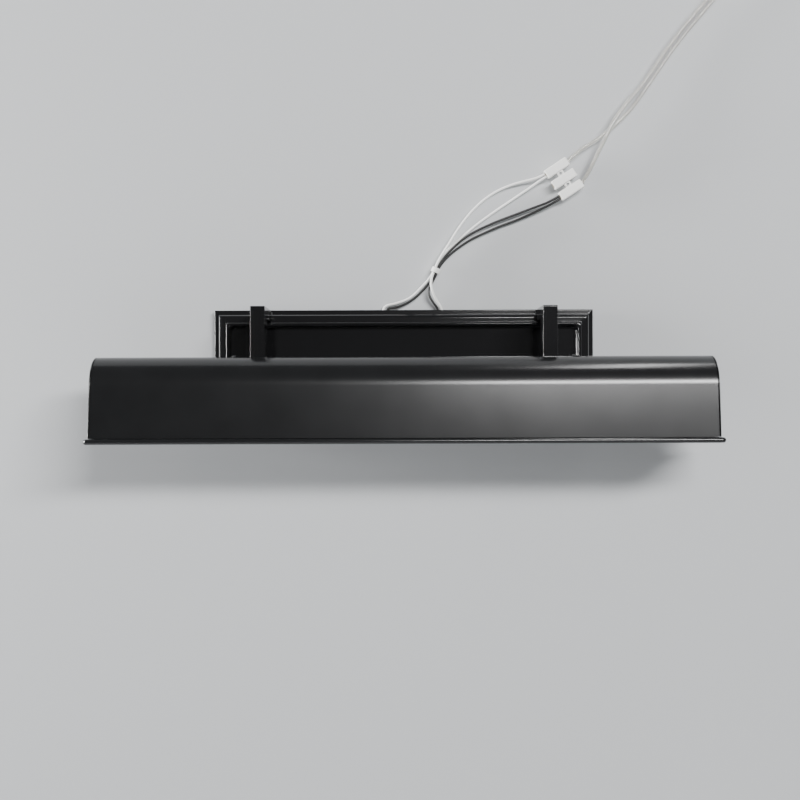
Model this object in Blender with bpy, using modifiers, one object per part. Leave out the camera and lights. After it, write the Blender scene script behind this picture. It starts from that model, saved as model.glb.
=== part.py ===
"""Picture light: moulded wall plate, two hollow arms, tilting trough shade with two lamps.

Units are metres, +Z is up, the wall is the plane y = 0 and the light stands out towards -Y.
The origin is the middle of the wall bracket's back face.  In the side view, depth is the
distance from the wall (-y), and a section is a list of (depth, z) points.
"""
import bmesh
import bpy
from math import atan2, cos, degrees, radians, sin, sqrt, tan
from mathutils import Matrix, Vector

MM = 0.001
GAP = 0.3 * MM                      # clearance that touching pieces keep

# Wall plate
PLATE_HALF_X = 143.0 * MM
PLATE_HALF_Z = 38.5 * MM
PANEL_FRONT = 9.5 * MM
PANEL_BACK = 8.2 * MM
# (inset from the edge, depth, corner radius), from the panel's front out over the moulding
MOULDING = [(13.9, 9.5, 3.9), (13.2, 10.0, 3.8), (12.8, 15.2, 3.5), (12.3, 16.3, 3.2),
            (11.3, 16.8, 2.8), (10.3, 16.3, 2.4), (9.8, 15.2, 2.1), (9.5, 12.0, 1.9),
            (6.3, 11.8, 1.2), (4.6, 11.0, 1.0), (3.7, 9.4, 0.9), (3.4, 5.6, 0.8),
            (0.5, 5.4, 0.5), (0.0, 4.9, 0.4), (0.0, 0.5, 0.4)]
PAN_INSIDE = [(1.3, 0.5, 0.4), (1.3, 4.2, 0.4), (5.0, 4.4, 0.8), (5.2, 10.2, 1.0),
              (11.0, 10.4, 2.4), (11.6, 8.2, 2.8)]
STUD_X = 114.0 * MM
STUD_Z = -5.0 * MM
WALL_SCREW_X = 60.0 * MM
EXITS_X = (-14.0 * MM, 27.5 * MM)   # where the left and the right pair of leads come out
EXIT_WIDTH = 9.0 * MM
EXIT_DEPTH = 4.0 * MM

# Arms
ARM_X = 105.0 * MM
ARM_WIDTH = 10.5 * MM
ARM_WALL = 1.5 * MM
ARM_TOP = 38.2 * MM
ARM_UNDER = 29.6 * MM
ARM_FRONT = 55.0 * MM
ARM_BACK = 5.3 * MM
LEG_BACK = 44.5 * MM
GUSSET_BACK = 37.0 * MM
GUSSET_LOW = 18.0 * MM
TAB_FRONT = 7.6 * MM
TAB_BACK = 6.1 * MM
TAB_LOW = 9.0 * MM

# Tilt joint
PIVOT = (49.75 * MM, -12.0 * MM)    # depth and height of the hinge axis
LEG_RADIUS = PIVOT[0] - LEG_BACK
PIN_RADIUS = 3.5 * MM
PIN_BORE = 2.4 * MM
EAR_THICK = 1.5 * MM
EAR_RADIUS = 6.2 * MM
NUT_THICK = 3.6 * MM
NUT_RADIUS = 5.6 * MM
EAR_X = ARM_WIDTH / 2 + 0.4 * MM    # inner face of an ear, from the arm's middle
PIN_HALF = EAR_X + EAR_THICK + GAP + NUT_THICK + 1.0 * MM

# Shade
SHADE_HALF = 217.9 * MM
SHADE_CENTRE = (59.3 * MM, -21.7 * MM)
SHADE_RADIUS = 23.0 * MM
SHADE_WALL = 1.2 * MM
SHADE_FLARE = radians(5.9)
SHADE_STEPS = 19                    # odd, so a flat facet lies on top and the screw hole is inside it
SHADE_BOTTOM = -55.8 * MM
CAP_THICK = 1.2 * MM
RIM_TOP = -56.1 * MM
RIM_THICK = 3.8 * MM
RIM_PROUD = 3.0 * MM
SLOT_DEPTHS = (40.9 * MM, 58.0 * MM)
SLOT_HALF = ARM_WIDTH / 2 + 0.6 * MM

# Lamps
LAMP_AXIS = (60.0 * MM, -34.0 * MM)
CARRIER_TOP = -1.6 * MM
CARRIER_THICK = 1.4 * MM
CARRIER_HALF_Y = 6.5 * MM
CARRIER_START = 113.5 * MM
CARRIER_END = 200.0 * MM
CARRIER_SCREW_X = 121.0 * MM
HOLDER_RADIUS = 13.2 * MM
HOLDER_LENGTH = 40.0 * MM
BULB_RADIUS = 12.5 * MM
BULB_LENGTH = 60.0 * MM

# Wires
LEAD_RADIUS = 0.92 * MM
CORE_RADIUS = 1.6 * MM
END_STRAIGHT = 0.7 * MM             # first and last stretch of a wire, square to its end face
LEAD_DEPTH = 2.4 * MM               # depth of a free lead's middle, lying against the wall
BLOCK_PITCH = 9.9 * MM
BLOCK_LENGTH = 19.4 * MM
BLOCK_MIDDLE = Vector((121.3 * MM, 0.0, 136.7 * MM))
BLOCK_ANGLE = radians(33.0)         # slope of the terminal block's poles

SIDES = (("left", -1), ("right", 1))
COLOURS = {
    "satin_black": ((0.012, 0.012, 0.013), 0.38, 0.0),
    "gloss_black": ((0.008, 0.008, 0.009), 0.20, 0.0),
    "zinc_steel": ((0.55, 0.56, 0.58), 0.35, 1.0),
    "brass": ((0.72, 0.52, 0.22), 0.30, 1.0),
    "white_plastic": ((0.80, 0.80, 0.78), 0.40, 0.0),
    "opal_glass": ((0.90, 0.90, 0.88), 0.25, 0.0),
    "white_lead": ((0.85, 0.85, 0.84), 0.45, 0.0),
    "black_lead": ((0.015, 0.015, 0.015), 0.40, 0.0),
    "clear_pvc": ((0.70, 0.68, 0.63), 0.15, 0.0),
}


def start_scene():
    """Empty the scene and return the collections for the parts and for the cutters."""
    for item in list(bpy.data.objects):
        bpy.data.objects.remove(item, do_unlink=True)
    parts = bpy.data.collections.new("picture_light")
    cutters = bpy.data.collections.new("cutters")
    for collection in (parts, cutters):
        bpy.context.scene.collection.children.link(collection)
    return parts, cutters


PARTS, CUTTERS = start_scene()


def material(name, part_name):
    """Make a part's own Principled material from the colour table."""
    colour, roughness, metallic = COLOURS[name]
    made = bpy.data.materials.new(part_name + "_" + name)
    made.use_nodes = True
    shader = made.node_tree.nodes["Principled BSDF"]
    shader.inputs["Base Color"].default_value = (*colour, 1.0)
    shader.inputs["Roughness"].default_value = roughness
    shader.inputs["Metallic"].default_value = metallic
    made.diffuse_color = (*colour, 1.0)
    return made


def place(name, data, finish, smooth=True):
    """Link an object for a part, or for a cutter when it has no finish."""
    made = bpy.data.objects.new(name, data)
    if finish is None:
        CUTTERS.objects.link(made)
        made.hide_render = True
        made.display_type = "WIRE"
        return made
    PARTS.objects.link(made)
    data.materials.append(material(finish, name))
    if smooth and isinstance(data, bpy.types.Mesh):
        data.shade_smooth()
        data.set_sharp_from_angle(angle=radians(35))
    return made


def from_bmesh(name, shape, finish, smooth=True):
    """Turn a bmesh into a placed object."""
    bmesh.ops.recalc_face_normals(shape, faces=shape.faces)
    mesh = bpy.data.meshes.new(name)
    shape.to_mesh(mesh)
    shape.free()
    return place(name, mesh, finish, smooth)


def box(name, low, high, finish=None):
    """A box between two corners."""
    shape = bmesh.new()
    bmesh.ops.create_cube(shape, size=1.0)
    low = Vector(low)
    high = Vector(high)
    size = high - low
    bmesh.ops.scale(shape, vec=size, verts=shape.verts)
    bmesh.ops.translate(shape, vec=(low + high) / 2, verts=shape.verts)
    return from_bmesh(name, shape, finish, smooth=False)


def direction_matrix(origin, direction):
    """A matrix that puts local +Z along a direction, at an origin."""
    turn = Vector(direction).to_track_quat("Z", "Y").to_matrix().to_4x4()
    return Matrix.Translation(Vector(origin)) @ turn


def cylinder(name, start, end, radius, finish=None, segments=20):
    """A cylinder between two points."""
    start = Vector(start)
    end = Vector(end)
    shape = bmesh.new()
    middle = direction_matrix((start + end) / 2, end - start)
    bmesh.ops.create_cone(shape, cap_ends=True, segments=segments, radius1=radius, radius2=radius,
                          depth=(end - start).length, matrix=middle)
    return from_bmesh(name, shape, finish)


def turned(name, profile, origin, direction, finish, steps=20, closed=False):
    """A turned piece from (radius, height) points, which run down its outer side."""
    mesh = bpy.data.meshes.new(name)
    points = [(radius, 0.0, height) for radius, height in profile]
    edges = [(index, index + 1) for index in range(len(points) - 1)]
    if closed:
        edges.append((len(points) - 1, 0))
    mesh.from_pydata(points, edges, [])
    made = place(name, mesh, finish)
    made.matrix_world = direction_matrix(origin, direction)
    screw = made.modifiers.new("Screw", "SCREW")
    screw.steps = steps
    screw.render_steps = steps
    screw.use_merge_vertices = True
    screw.merge_threshold = 0.00001
    screw.use_smooth_shade = True
    return made


def applied_mesh(source, name, finish):
    """Replace an object by a mesh object of its evaluated shape, with loose caps welded."""
    bpy.context.view_layer.update()
    seen = source.evaluated_get(bpy.context.evaluated_depsgraph_get())
    mesh = bpy.data.meshes.new_from_object(seen)
    matrix = source.matrix_world.copy()
    mesh.materials.clear()
    shape = bmesh.new()
    shape.from_mesh(mesh)
    bmesh.ops.remove_doubles(shape, verts=shape.verts, dist=0.000001)
    bmesh.ops.dissolve_limit(shape, angle_limit=0.001, verts=shape.verts, edges=shape.edges)
    bmesh.ops.recalc_face_normals(shape, faces=shape.faces)
    shape.to_mesh(mesh)
    shape.free()
    bpy.data.objects.remove(source, do_unlink=True)
    mesh.name = name
    made = place(name, mesh, finish)
    made.matrix_world = matrix
    return made


def outline(name, points, thickness, matrix, finish=None):
    """A flat outline of local x, y points, thickened both ways along local z, as a mesh."""
    curve = bpy.data.curves.new(name, "CURVE")
    curve.dimensions = "2D"
    curve.fill_mode = "BOTH"
    curve.extrude = thickness / 2
    spline = curve.splines.new("POLY")
    spline.points.add(len(points) - 1)
    for point, place_at in zip(spline.points, points):
        point.co = (place_at[0], place_at[1], 0.0, 1.0)
    spline.use_cyclic_u = True
    drawn = bpy.data.objects.new(name + "_outline", curve)
    CUTTERS.objects.link(drawn)
    drawn.matrix_world = matrix
    return applied_mesh(drawn, name, finish)


def side_matrix(x):
    """Local x is depth, local y is height and local z runs along -X, at a given x."""
    return Matrix(((0, 0, -1, x), (-1, 0, 0, 0), (0, 1, 0, 0), (0, 0, 0, 1)))


def cut(target, cutters, operation="DIFFERENCE"):
    """Cut, join or keep the shared shape of a part with each cutter in turn."""
    for cutter in cutters:
        change = target.modifiers.new(cutter.name, "BOOLEAN")
        change.operation = operation
        change.object = cutter
        change.solver = "EXACT"
    return target


def arc(centre, radius, start, end, steps):
    """Points along an arc, from a start to an end angle in degrees."""
    points = []
    for step in range(steps + 1):
        angle = radians(start + (end - start) * step / steps)
        points.append((centre[0] + radius * cos(angle), centre[1] + radius * sin(angle)))
    return points


def rounded_ring(shape, centre, half_a, half_b, radius, height, plane, steps=2):
    """Add the vertices of one rounded rectangle to a bmesh, and return them in order."""
    ring = []
    for corner, (sign_a, sign_b) in enumerate(((1, 1), (-1, 1), (-1, -1), (1, -1))):
        middle = (sign_a * (half_a - radius), sign_b * (half_b - radius))
        for a, b in arc(middle, radius, 90 * corner, 90 * corner + 90, steps):
            ring.append(shape.verts.new(plane(centre[0] + a, centre[1] + b, height)))
    return ring


def bridge(shape, first, second):
    """Join two rings of equal length with quads."""
    count = len(first)
    for index in range(count):
        after = (index + 1) % count
        shape.faces.new((first[index], first[after], second[after], second[index]))


def catmull(points, spacing):
    """Read evenly spaced points from a smooth curve through route points."""
    route = [Vector(point) for point in points]
    padded = [2 * route[0] - route[1]] + route + [2 * route[-1] - route[-2]]
    fine = []
    for index in range(1, len(padded) - 2):
        p0, p1, p2, p3 = padded[index - 1:index + 3]
        for step in range(12):
            t = step / 12
            fine.append(0.5 * (2 * p1 + (p2 - p0) * t + (2 * p0 - 5 * p1 + 4 * p2 - p3) * t * t
                               + (3 * p1 - p0 - 3 * p2 + p3) * t ** 3))
    fine.append(route[-1])
    length = sum((b - a).length for a, b in zip(fine, fine[1:]))
    count = max(3, round(length / spacing))
    result = [fine[0]]
    walked = 0.0
    for a, b in zip(fine, fine[1:]):
        piece = (b - a).length
        while len(result) < count and walked + piece >= length * len(result) / count - 1e-9:
            share = (length * len(result) / count - walked) / piece
            result.append(a.lerp(b, share))
        walked += piece
    result.append(fine[-1])
    near_start = next(point for point in fine if (point - fine[0]).length > END_STRAIGHT)
    near_end = next(point for point in reversed(fine) if (point - fine[-1]).length > END_STRAIGHT)
    return [result[0], near_start] + result[1:-1] + [near_end, result[-1]]


def thinned(points, turn, longest):
    """Leave out points of a dense path where it runs straight."""
    kept = [points[0], points[1]]
    for index in range(2, len(points) - 2):
        here = points[index + 1] - points[index]
        before = kept[-1] - kept[-2]
        if here.angle(before) > turn or (points[index] - kept[-1]).length > longest:
            kept.append(points[index])
    return kept + points[-2:]


def wire(name, route, radius, finish, hidden=False):
    """A round wire along a smooth curve through route points."""
    points = catmull(route, (2.0 if hidden else 5.5) * radius)
    if hidden:
        points = thinned(points, radians(16), 24 * radius)
    curve = bpy.data.curves.new(name, "CURVE")
    curve.dimensions = "3D"
    curve.bevel_depth = radius
    curve.bevel_resolution = 2
    curve.use_fill_caps = True
    spline = curve.splines.new("POLY")
    spline.points.add(len(points) - 1)
    for point, place_at in zip(spline.points, points):
        point.co = (*place_at, 1.0)
    return place(name, curve, finish)


def mirrored(side, x, depth, z):
    """A point given for the right side, put on the named side."""
    return Vector((side * x, -depth, z))


# ---------------------------------------------------------------- wall plate and its fixings

def wall_bracket():
    """Flat steel bar on the wall, which holds the two studs that the plate is clamped to."""
    bar = box("wall_bracket", (-124 * MM, -1.5 * MM, -9 * MM), (124 * MM, 0, 9 * MM), "zinc_steel")
    holes = []
    for name, side in SIDES:
        holes.append(cylinder("wall_hole_" + name, (side * WALL_SCREW_X, -5 * MM, 0),
                              (side * WALL_SCREW_X, 5 * MM, 0), 2.6 * MM))
        holes.append(cylinder("stud_hole_" + name, (side * STUD_X, -5 * MM, STUD_Z),
                              (side * STUD_X, 5 * MM, STUD_Z), 1.4 * MM))
    return cut(bar, holes)


def wall_screw(name, side):
    """Pan-head screw through the bracket into the wall."""
    profile = [(0, 2.4), (2.2, 2.2), (3.9, 1.2), (4.2, 0.0), (1.9, 0.0), (1.9, -20.0), (0, -24.0)]
    points = [(r * MM, h * MM) for r, h in profile]
    turned("wall_screw_" + name, points, (side * WALL_SCREW_X, -1.8 * MM, 0), (0, -1, 0),
           "zinc_steel", 10)


def mounting_stud(name, side):
    """Screw from behind the bracket, standing out through the panel, with its flat head seated
    on the bracket's front."""
    profile = [(0, 12.6), (1.6, 12.6), (1.9, 12.2), (1.9, 1.6), (3.6, 1.6), (3.6, 0.0), (0, 0.0)]
    points = [(r * MM, h * MM) for r, h in profile]
    turned("mounting_stud_" + name, points, (side * STUD_X, -1.8 * MM, STUD_Z), (0, -1, 0),
           "zinc_steel", 10)


def cap_nut(name, side):
    """Domed nut that clamps the plate on its stud."""
    profile = [(0, 6.6), (1.8, 6.2), (3.1, 5.0), (3.7, 3.4), (3.7, 0.9), (4.6, 0.8), (4.6, 0.0),
               (2.2, 0.0), (2.2, 5.1), (0, 5.1)]
    points = [(r * MM, h * MM) for r, h in profile]
    seat = PANEL_FRONT + 0.6 * MM
    turned("cap_nut_" + name, points, (side * STUD_X, -seat, STUD_Z), (0, -1, 0), "gloss_black", 12)


def backplate():
    """Cast pan: a stepped picture-frame moulding round a recessed panel, hollow behind."""
    shape = bmesh.new()

    def plane(a, b, height):
        return Vector((a, -height, b))

    rings = []
    for inset, depth, radius in MOULDING + PAN_INSIDE:
        rings.append(rounded_ring(shape, (0, 0), PLATE_HALF_X - inset * MM,
                                  PLATE_HALF_Z - inset * MM, radius * MM, depth * MM, plane))
    shape.faces.new(rings[0])
    for first, second in zip(rings, rings[1:]):
        bridge(shape, first, second)
    shape.faces.new(list(reversed(rings[-1])))
    pan = from_bmesh("backplate", shape, "gloss_black")
    cutters = []
    for index, x in enumerate(EXITS_X):
        cutters.append(box("exit_cutter_%d" % index, (x - EXIT_WIDTH / 2, -EXIT_DEPTH, 30 * MM),
                           (x + EXIT_WIDTH / 2, 1 * MM, 45 * MM)))
    for name, side in SIDES:
        x = side * ARM_X
        half = ARM_WIDTH / 2 + GAP
        cutters.append(box("arm_notch_" + name, (x - half, -20 * MM, ARM_UNDER - GAP),
                           (x + half, -ARM_BACK + GAP, 45 * MM)))
        cutters.append(box("arm_way_" + name, (x - half, -6 * MM, ARM_UNDER + 1 * MM),
                           (x + half, -2 * MM, 36.9 * MM)))
        cutters.append(cylinder("panel_hole_" + name, (side * STUD_X, -12 * MM, STUD_Z),
                                (side * STUD_X, 0, STUD_Z), 2.3 * MM))
    return cut(pan, cutters)


def arm(name, side):
    """Hollow cast arm: a top bar out of the plate, then a leg that drops into the shade."""
    corner = arc((ARM_FRONT - 1.0 * MM, ARM_TOP - 1.0 * MM), 1.0 * MM, 90, 0, 3)
    foot = arc(PIVOT, LEG_RADIUS, 0, -180, 12)
    gusset = arc((LEG_BACK, GUSSET_LOW), LEG_BACK - GUSSET_BACK, 270, 180, 6)
    points = [(ARM_BACK, ARM_TOP)] + corner + foot + gusset
    points += [(GUSSET_BACK, ARM_UNDER), (TAB_FRONT, ARM_UNDER), (TAB_FRONT, TAB_LOW),
               (TAB_BACK, TAB_LOW), (TAB_BACK, ARM_UNDER + 0.4 * MM),
               (ARM_BACK, ARM_UNDER + 0.4 * MM)]
    x = side * ARM_X
    body = outline("arm_" + name, points, ARM_WIDTH, side_matrix(x), "gloss_black")
    inner_top = ARM_TOP - ARM_WALL
    inner_under = ARM_UNDER + ARM_WALL
    inner_front = ARM_FRONT - ARM_WALL
    inner_back = LEG_BACK + ARM_WALL
    half = ARM_WIDTH / 2 - ARM_WALL
    bar = box("bar_channel_" + name, (x - half, -inner_front, inner_under), (x + half, 0, inner_top))
    leg = box("leg_channel_" + name, (x - half, -inner_front, PIVOT[1]),
              (x + half, -inner_back, inner_top - 1 * MM))
    bore = cylinder("arm_bore_" + name, (x - 10 * MM, -PIVOT[0], PIVOT[1]),
                    (x + 10 * MM, -PIVOT[0], PIVOT[1]), PIN_RADIUS + GAP, segments=24)
    hole = cylinder("tab_hole_" + name, (x, -10 * MM, 14 * MM), (x, -4 * MM, 14 * MM), 2.0 * MM)
    cut(bar, [leg], "UNION")
    cut(body, [bar, bore, hole])


def arm_fixings(name, side):
    """Screw from behind, through the arm's tab into a blind hole in the panel's back."""
    x = side * ARM_X
    profile = [(0, 3.9), (1.6, 3.9), (1.6, 0.3), (1.6, 0.0), (3.4, 0.0), (3.2, -1.6), (2.2, -2.2),
               (0, -2.3)]
    points = [(r * MM, h * MM) for r, h in profile]
    turned("arm_screw_" + name, points, (x, -(TAB_BACK - 1.2 * MM), 14 * MM), (0, -1, 0),
           "zinc_steel", 10)
    cutter = cylinder("panel_blind_hole_" + name, (x, -9.1 * MM, 14 * MM), (x, -7 * MM, 14 * MM),
                      1.95 * MM)
    cut(bpy.data.objects["backplate"], [cutter])


# ---------------------------------------------------------------- tilt joint

def pivot_pin(name, side):
    """Hollow threaded pin across the arm's foot, with a window where the leads turn into it."""
    x = side * ARM_X
    ring = [(PIN_RADIUS, PIN_HALF), (PIN_RADIUS, -PIN_HALF), (PIN_BORE, -PIN_HALF),
            (PIN_BORE, PIN_HALF)]
    pin = turned("pivot_pin_" + name, ring, (x, -PIVOT[0], PIVOT[1]), (1, 0, 0), "brass", 16, True)
    window = box("pin_window_" + name, (x - 3.6 * MM, -PIVOT[0] - 2.5 * MM, PIVOT[1] + 0.2 * MM),
                 (x + 3.6 * MM, -PIVOT[0] + 2.5 * MM, PIVOT[1] + 6 * MM))
    cut(pin, [window])


def pivot_nuts(name, side):
    """Two ring nuts, one outside each ear, that set the joint's friction."""
    for end, direction in (("inner", -side), ("outer", side)):
        seat = side * ARM_X + direction * (EAR_X + EAR_THICK + GAP)
        ring = [(NUT_RADIUS - 0.5 * MM, NUT_THICK), (NUT_RADIUS, NUT_THICK - 0.5 * MM),
                (NUT_RADIUS, 0.0), (PIN_RADIUS + GAP, 0.0), (PIN_RADIUS + GAP, NUT_THICK)]
        turned("pivot_nut_%s_%s" % (name, end), ring, (seat, -PIVOT[0], PIVOT[1]),
               (direction, 0, 0), "brass", 16, closed=True)


def hinge_saddle(name, side):
    """Steel saddle under the shade's roof: two ears on the pin, joined by a web in front."""
    x = side * ARM_X
    outer = EAR_X + EAR_THICK
    web_back = 58.4 * MM
    web_front = web_back + EAR_THICK
    back = 43.4 * MM
    plan = [(-outer, back), (-outer, web_front), (outer, web_front), (outer, back), (EAR_X, back),
            (EAR_X, web_back), (-EAR_X, web_back), (-EAR_X, back)]
    plan_matrix = Matrix(((1, 0, 0, x), (0, -1, 0, 0), (0, 0, -1, -10 * MM), (0, 0, 0, 1)))
    saddle = outline("hinge_saddle_" + name, plan, 30 * MM, plan_matrix, "zinc_steel")
    inside = SHADE_RADIUS - SHADE_WALL - GAP
    start = degrees(atan2(sqrt(inside ** 2 - (60.5 * MM - SHADE_CENTRE[0]) ** 2),
                          60.5 * MM - SHADE_CENTRE[0]))
    end = degrees(atan2(sqrt(inside ** 2 - (back - SHADE_CENTRE[0] - 0.2 * MM) ** 2),
                        back - 0.2 * MM - SHADE_CENTRE[0]))
    roof = arc(SHADE_CENTRE, inside, start, end, 8)
    below = arc(PIVOT, EAR_RADIUS, 180, 290, 8)
    side_view = roof + below + [(60.5 * MM, -13 * MM)]
    keep = outline("saddle_side_" + name, side_view, 2 * outer + 1 * MM, side_matrix(x))
    hole = cylinder("saddle_hole_" + name, (x - 12 * MM, -PIVOT[0], PIVOT[1]),
                    (x + 12 * MM, -PIVOT[0], PIVOT[1]), PIN_RADIUS + GAP, segments=24)
    cut(saddle, [keep], "INTERSECT")
    cut(saddle, [hole])


# ---------------------------------------------------------------- shade

def shade_section(radius, bottom):
    """The shade's open section: front skirt up, over the top, rear skirt down."""
    flare = degrees(SHADE_FLARE)
    roof = arc(SHADE_CENTRE, radius, flare, 180 - flare, SHADE_STEPS)
    reach = (roof[0][1] - bottom) * tan(SHADE_FLARE)
    front = (roof[0][0] + reach, bottom)
    rear = (roof[-1][0] - reach, bottom)
    return [front] + roof + [rear]


def shade_shell():
    """Rolled steel trough, open below, with a slot in its rear roof for each arm."""
    shape = bmesh.new()
    section = shade_section(SHADE_RADIUS, SHADE_BOTTOM)
    left = [shape.verts.new((-SHADE_HALF, -depth, z)) for depth, z in section]
    right = [shape.verts.new((SHADE_HALF, -depth, z)) for depth, z in section]
    for index in range(len(section) - 1):
        # wound so that every face looks outwards, because the wall is thickened inwards
        shape.faces.new((left[index], right[index], right[index + 1], left[index + 1]))
    shape.normal_update()
    mesh = bpy.data.meshes.new("shade_shell")
    shape.to_mesh(mesh)
    shape.free()
    shell = place("shade_shell", mesh, "satin_black")
    wall = shell.modifiers.new("Solidify", "SOLIDIFY")
    wall.thickness = SHADE_WALL
    wall.offset = -1.0
    wall.use_even_offset = True
    cutters = []
    for name, side in SIDES:
        x = side * ARM_X
        cutters.append(box("shade_slot_" + name, (x - SLOT_HALF, -SLOT_DEPTHS[1], -13 * MM),
                           (x + SLOT_HALF, -SLOT_DEPTHS[0], 6 * MM)))
        cutters.append(cylinder("roof_hole_" + name,
                                (side * CARRIER_SCREW_X, -SHADE_CENTRE[0], -5 * MM),
                                (side * CARRIER_SCREW_X, -SHADE_CENTRE[0], 5 * MM), 1.6 * MM))
    return cut(shell, cutters)


def end_cap(name, side):
    """Flat plate that closes one end of the shade."""
    section = shade_section(SHADE_RADIUS, SHADE_BOTTOM)
    middle = side * (SHADE_HALF + GAP + CAP_THICK / 2)
    outline("end_cap_" + name, section, CAP_THICK, side_matrix(middle), "satin_black")


def rim_frame():
    """Rolled rim round the shade's opening, with a round outer edge."""
    shape = bmesh.new()
    section = shade_section(SHADE_RADIUS, SHADE_BOTTOM)
    half_x = SHADE_HALF + GAP + CAP_THICK + RIM_PROUD
    half_y = (section[0][0] - section[-1][0]) / 2 + RIM_PROUD
    round_edge = RIM_THICK / 2
    middle_z = RIM_TOP - round_edge

    def plane(a, b, height):
        return Vector((a, -b, height))

    profile = [(7.0 * MM, RIM_TOP - RIM_THICK), (7.0 * MM, RIM_TOP)]
    for step in range(7):
        angle = radians(90 - 30 * step)
        profile.append((round_edge - round_edge * cos(angle), middle_z + round_edge * sin(angle)))
    rings = []
    for inset, height in profile:
        rings.append(rounded_ring(shape, (0, SHADE_CENTRE[0]), half_x - inset, half_y - inset,
                                  max(0.6 * MM, 3.2 * MM - inset), height, plane, 4))
    for index, ring in enumerate(rings):
        bridge(shape, ring, rings[(index + 1) % len(rings)])
    return from_bmesh("rim_frame", shape, "satin_black")


# ---------------------------------------------------------------- lamps

def lamp_carrier(name, side):
    """Bent strip under the roof, whose turned-down end carries the lampholder."""
    low = CARRIER_TOP - CARRIER_THICK
    foot = LAMP_AXIS[1] - 9 * MM
    points = [(CARRIER_START, CARRIER_TOP), (CARRIER_END, CARRIER_TOP), (CARRIER_END, foot),
              (CARRIER_END - CARRIER_THICK, foot), (CARRIER_END - CARRIER_THICK, low),
              (CARRIER_START, low)]
    front = Matrix(((side, 0, 0, 0), (0, 0, -side, -LAMP_AXIS[0]), (0, 1, 0, 0), (0, 0, 0, 1)))
    strip = outline("lamp_carrier_" + name, points, 2 * CARRIER_HALF_Y, front, "zinc_steel")
    hole = cylinder("carrier_hole_" + name, mirrored(side, CARRIER_END - 5 * MM, *LAMP_AXIS),
                    mirrored(side, CARRIER_END + 5 * MM, *LAMP_AXIS), 5.3 * MM)
    screw_hole = cylinder("carrier_screw_hole_" + name,
                          mirrored(side, CARRIER_SCREW_X, SHADE_CENTRE[0], -8 * MM),
                          mirrored(side, CARRIER_SCREW_X, SHADE_CENTRE[0], 2 * MM), 1.7 * MM)
    cut(strip, [hole, screw_hole])


def carrier_screw(name, side):
    """Small screw through the roof that holds the carrier."""
    profile = [(0, 0.9), (1.2, 0.75), (2.2, 0.0), (1.3, 0.0), (1.3, -7.4), (0, -7.4)]
    points = [(r * MM, h * MM) for r, h in profile]
    seat = SHADE_CENTRE[1] + SHADE_RADIUS + 0.25 * MM
    turned("carrier_screw_" + name, points, (side * CARRIER_SCREW_X, -SHADE_CENTRE[0], seat),
           (0, 0, 1), "satin_black", 14)


def carrier_nut(name, side):
    """Nut under the carrier strip."""
    ring = [(3.0, 2.2), (3.0, 0.0), (1.6, 0.0), (1.6, 2.2)]
    top = CARRIER_TOP - CARRIER_THICK - GAP - 2.2 * MM
    turned("carrier_nut_" + name, [(r * MM, h * MM) for r, h in ring],
           (side * CARRIER_SCREW_X, -SHADE_CENTRE[0], top), (0, 0, 1), "zinc_steel", 6, closed=True)


def lampholder(name, side):
    """Cup-shaped holder with a hollow threaded stub, clamped through the carrier."""
    back = CARRIER_END - CARRIER_THICK - GAP
    length = HOLDER_LENGTH / MM
    bore = 7.6
    profile = [(2.6, 0.0 + 6.2), (4.9, 6.2), (4.9, 0.0), (10.5, 0.0), (11.2, -0.7), (11.2, -11.0),
               (13.2, -13.0), (13.2, -length + 1.0), (12.4, -length), (bore, -length),
               (bore, -8.0), (2.6, -8.0)]
    points = [(r * MM, h * MM) for r, h in profile]
    turned("lampholder_" + name, points, mirrored(side, back, *LAMP_AXIS), (side, 0, 0),
           "white_plastic", 18, closed=True)
    ring = [(8.0, 3.0), (8.0, 0.0), (5.2, 0.0), (5.2, 3.0)]
    turned("holder_nut_" + name, [(r * MM, h * MM) for r, h in ring],
           mirrored(side, CARRIER_END + GAP, *LAMP_AXIS), (side, 0, 0), "zinc_steel", 12, closed=True)


def lamp(name, side):
    """Tubular opal lamp: screw cap in the holder and a round-ended glass tube."""
    mouth = CARRIER_END - CARRIER_THICK - GAP - HOLDER_LENGTH
    threads = []
    for turn in range(3):
        top = 15.0 - 4.0 * turn
        threads += [(6.2, top), (6.9, top - 2.0)]
    profile = [(0, 26.0), (2.4, 26.0), (3.6, 23.5), (5.0, 21.5)] + threads
    profile += [(6.2, 3.0), (6.2, -1.0), (0, -1.0)]
    points = [(r * MM, h * MM) for r, h in profile]
    turned("lamp_cap_" + name, points, mirrored(side, mouth, *LAMP_AXIS), (side, 0, 0),
           "zinc_steel", 14)
    radius = BULB_RADIUS / MM
    length = BULB_LENGTH / MM
    glass = [(0, -1.3), (6.4, -1.3), (9.0, -3.0), (radius, -7.0), (radius, -length + 8.0)]
    for angle in (22.5, 45.0, 67.5):
        glass.append((radius - 8.0 + 8.0 * cos(radians(angle)),
                      -length + 8.0 - 8.0 * sin(radians(angle))))
    glass += [(radius - 8.0, -length), (0, -length)]
    turned("lamp_glass_" + name, [(r * MM, h * MM) for r, h in glass],
           mirrored(side, mouth, *LAMP_AXIS), (side, 0, 0), "opal_glass", 18)


# ---------------------------------------------------------------- wiring inside

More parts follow.
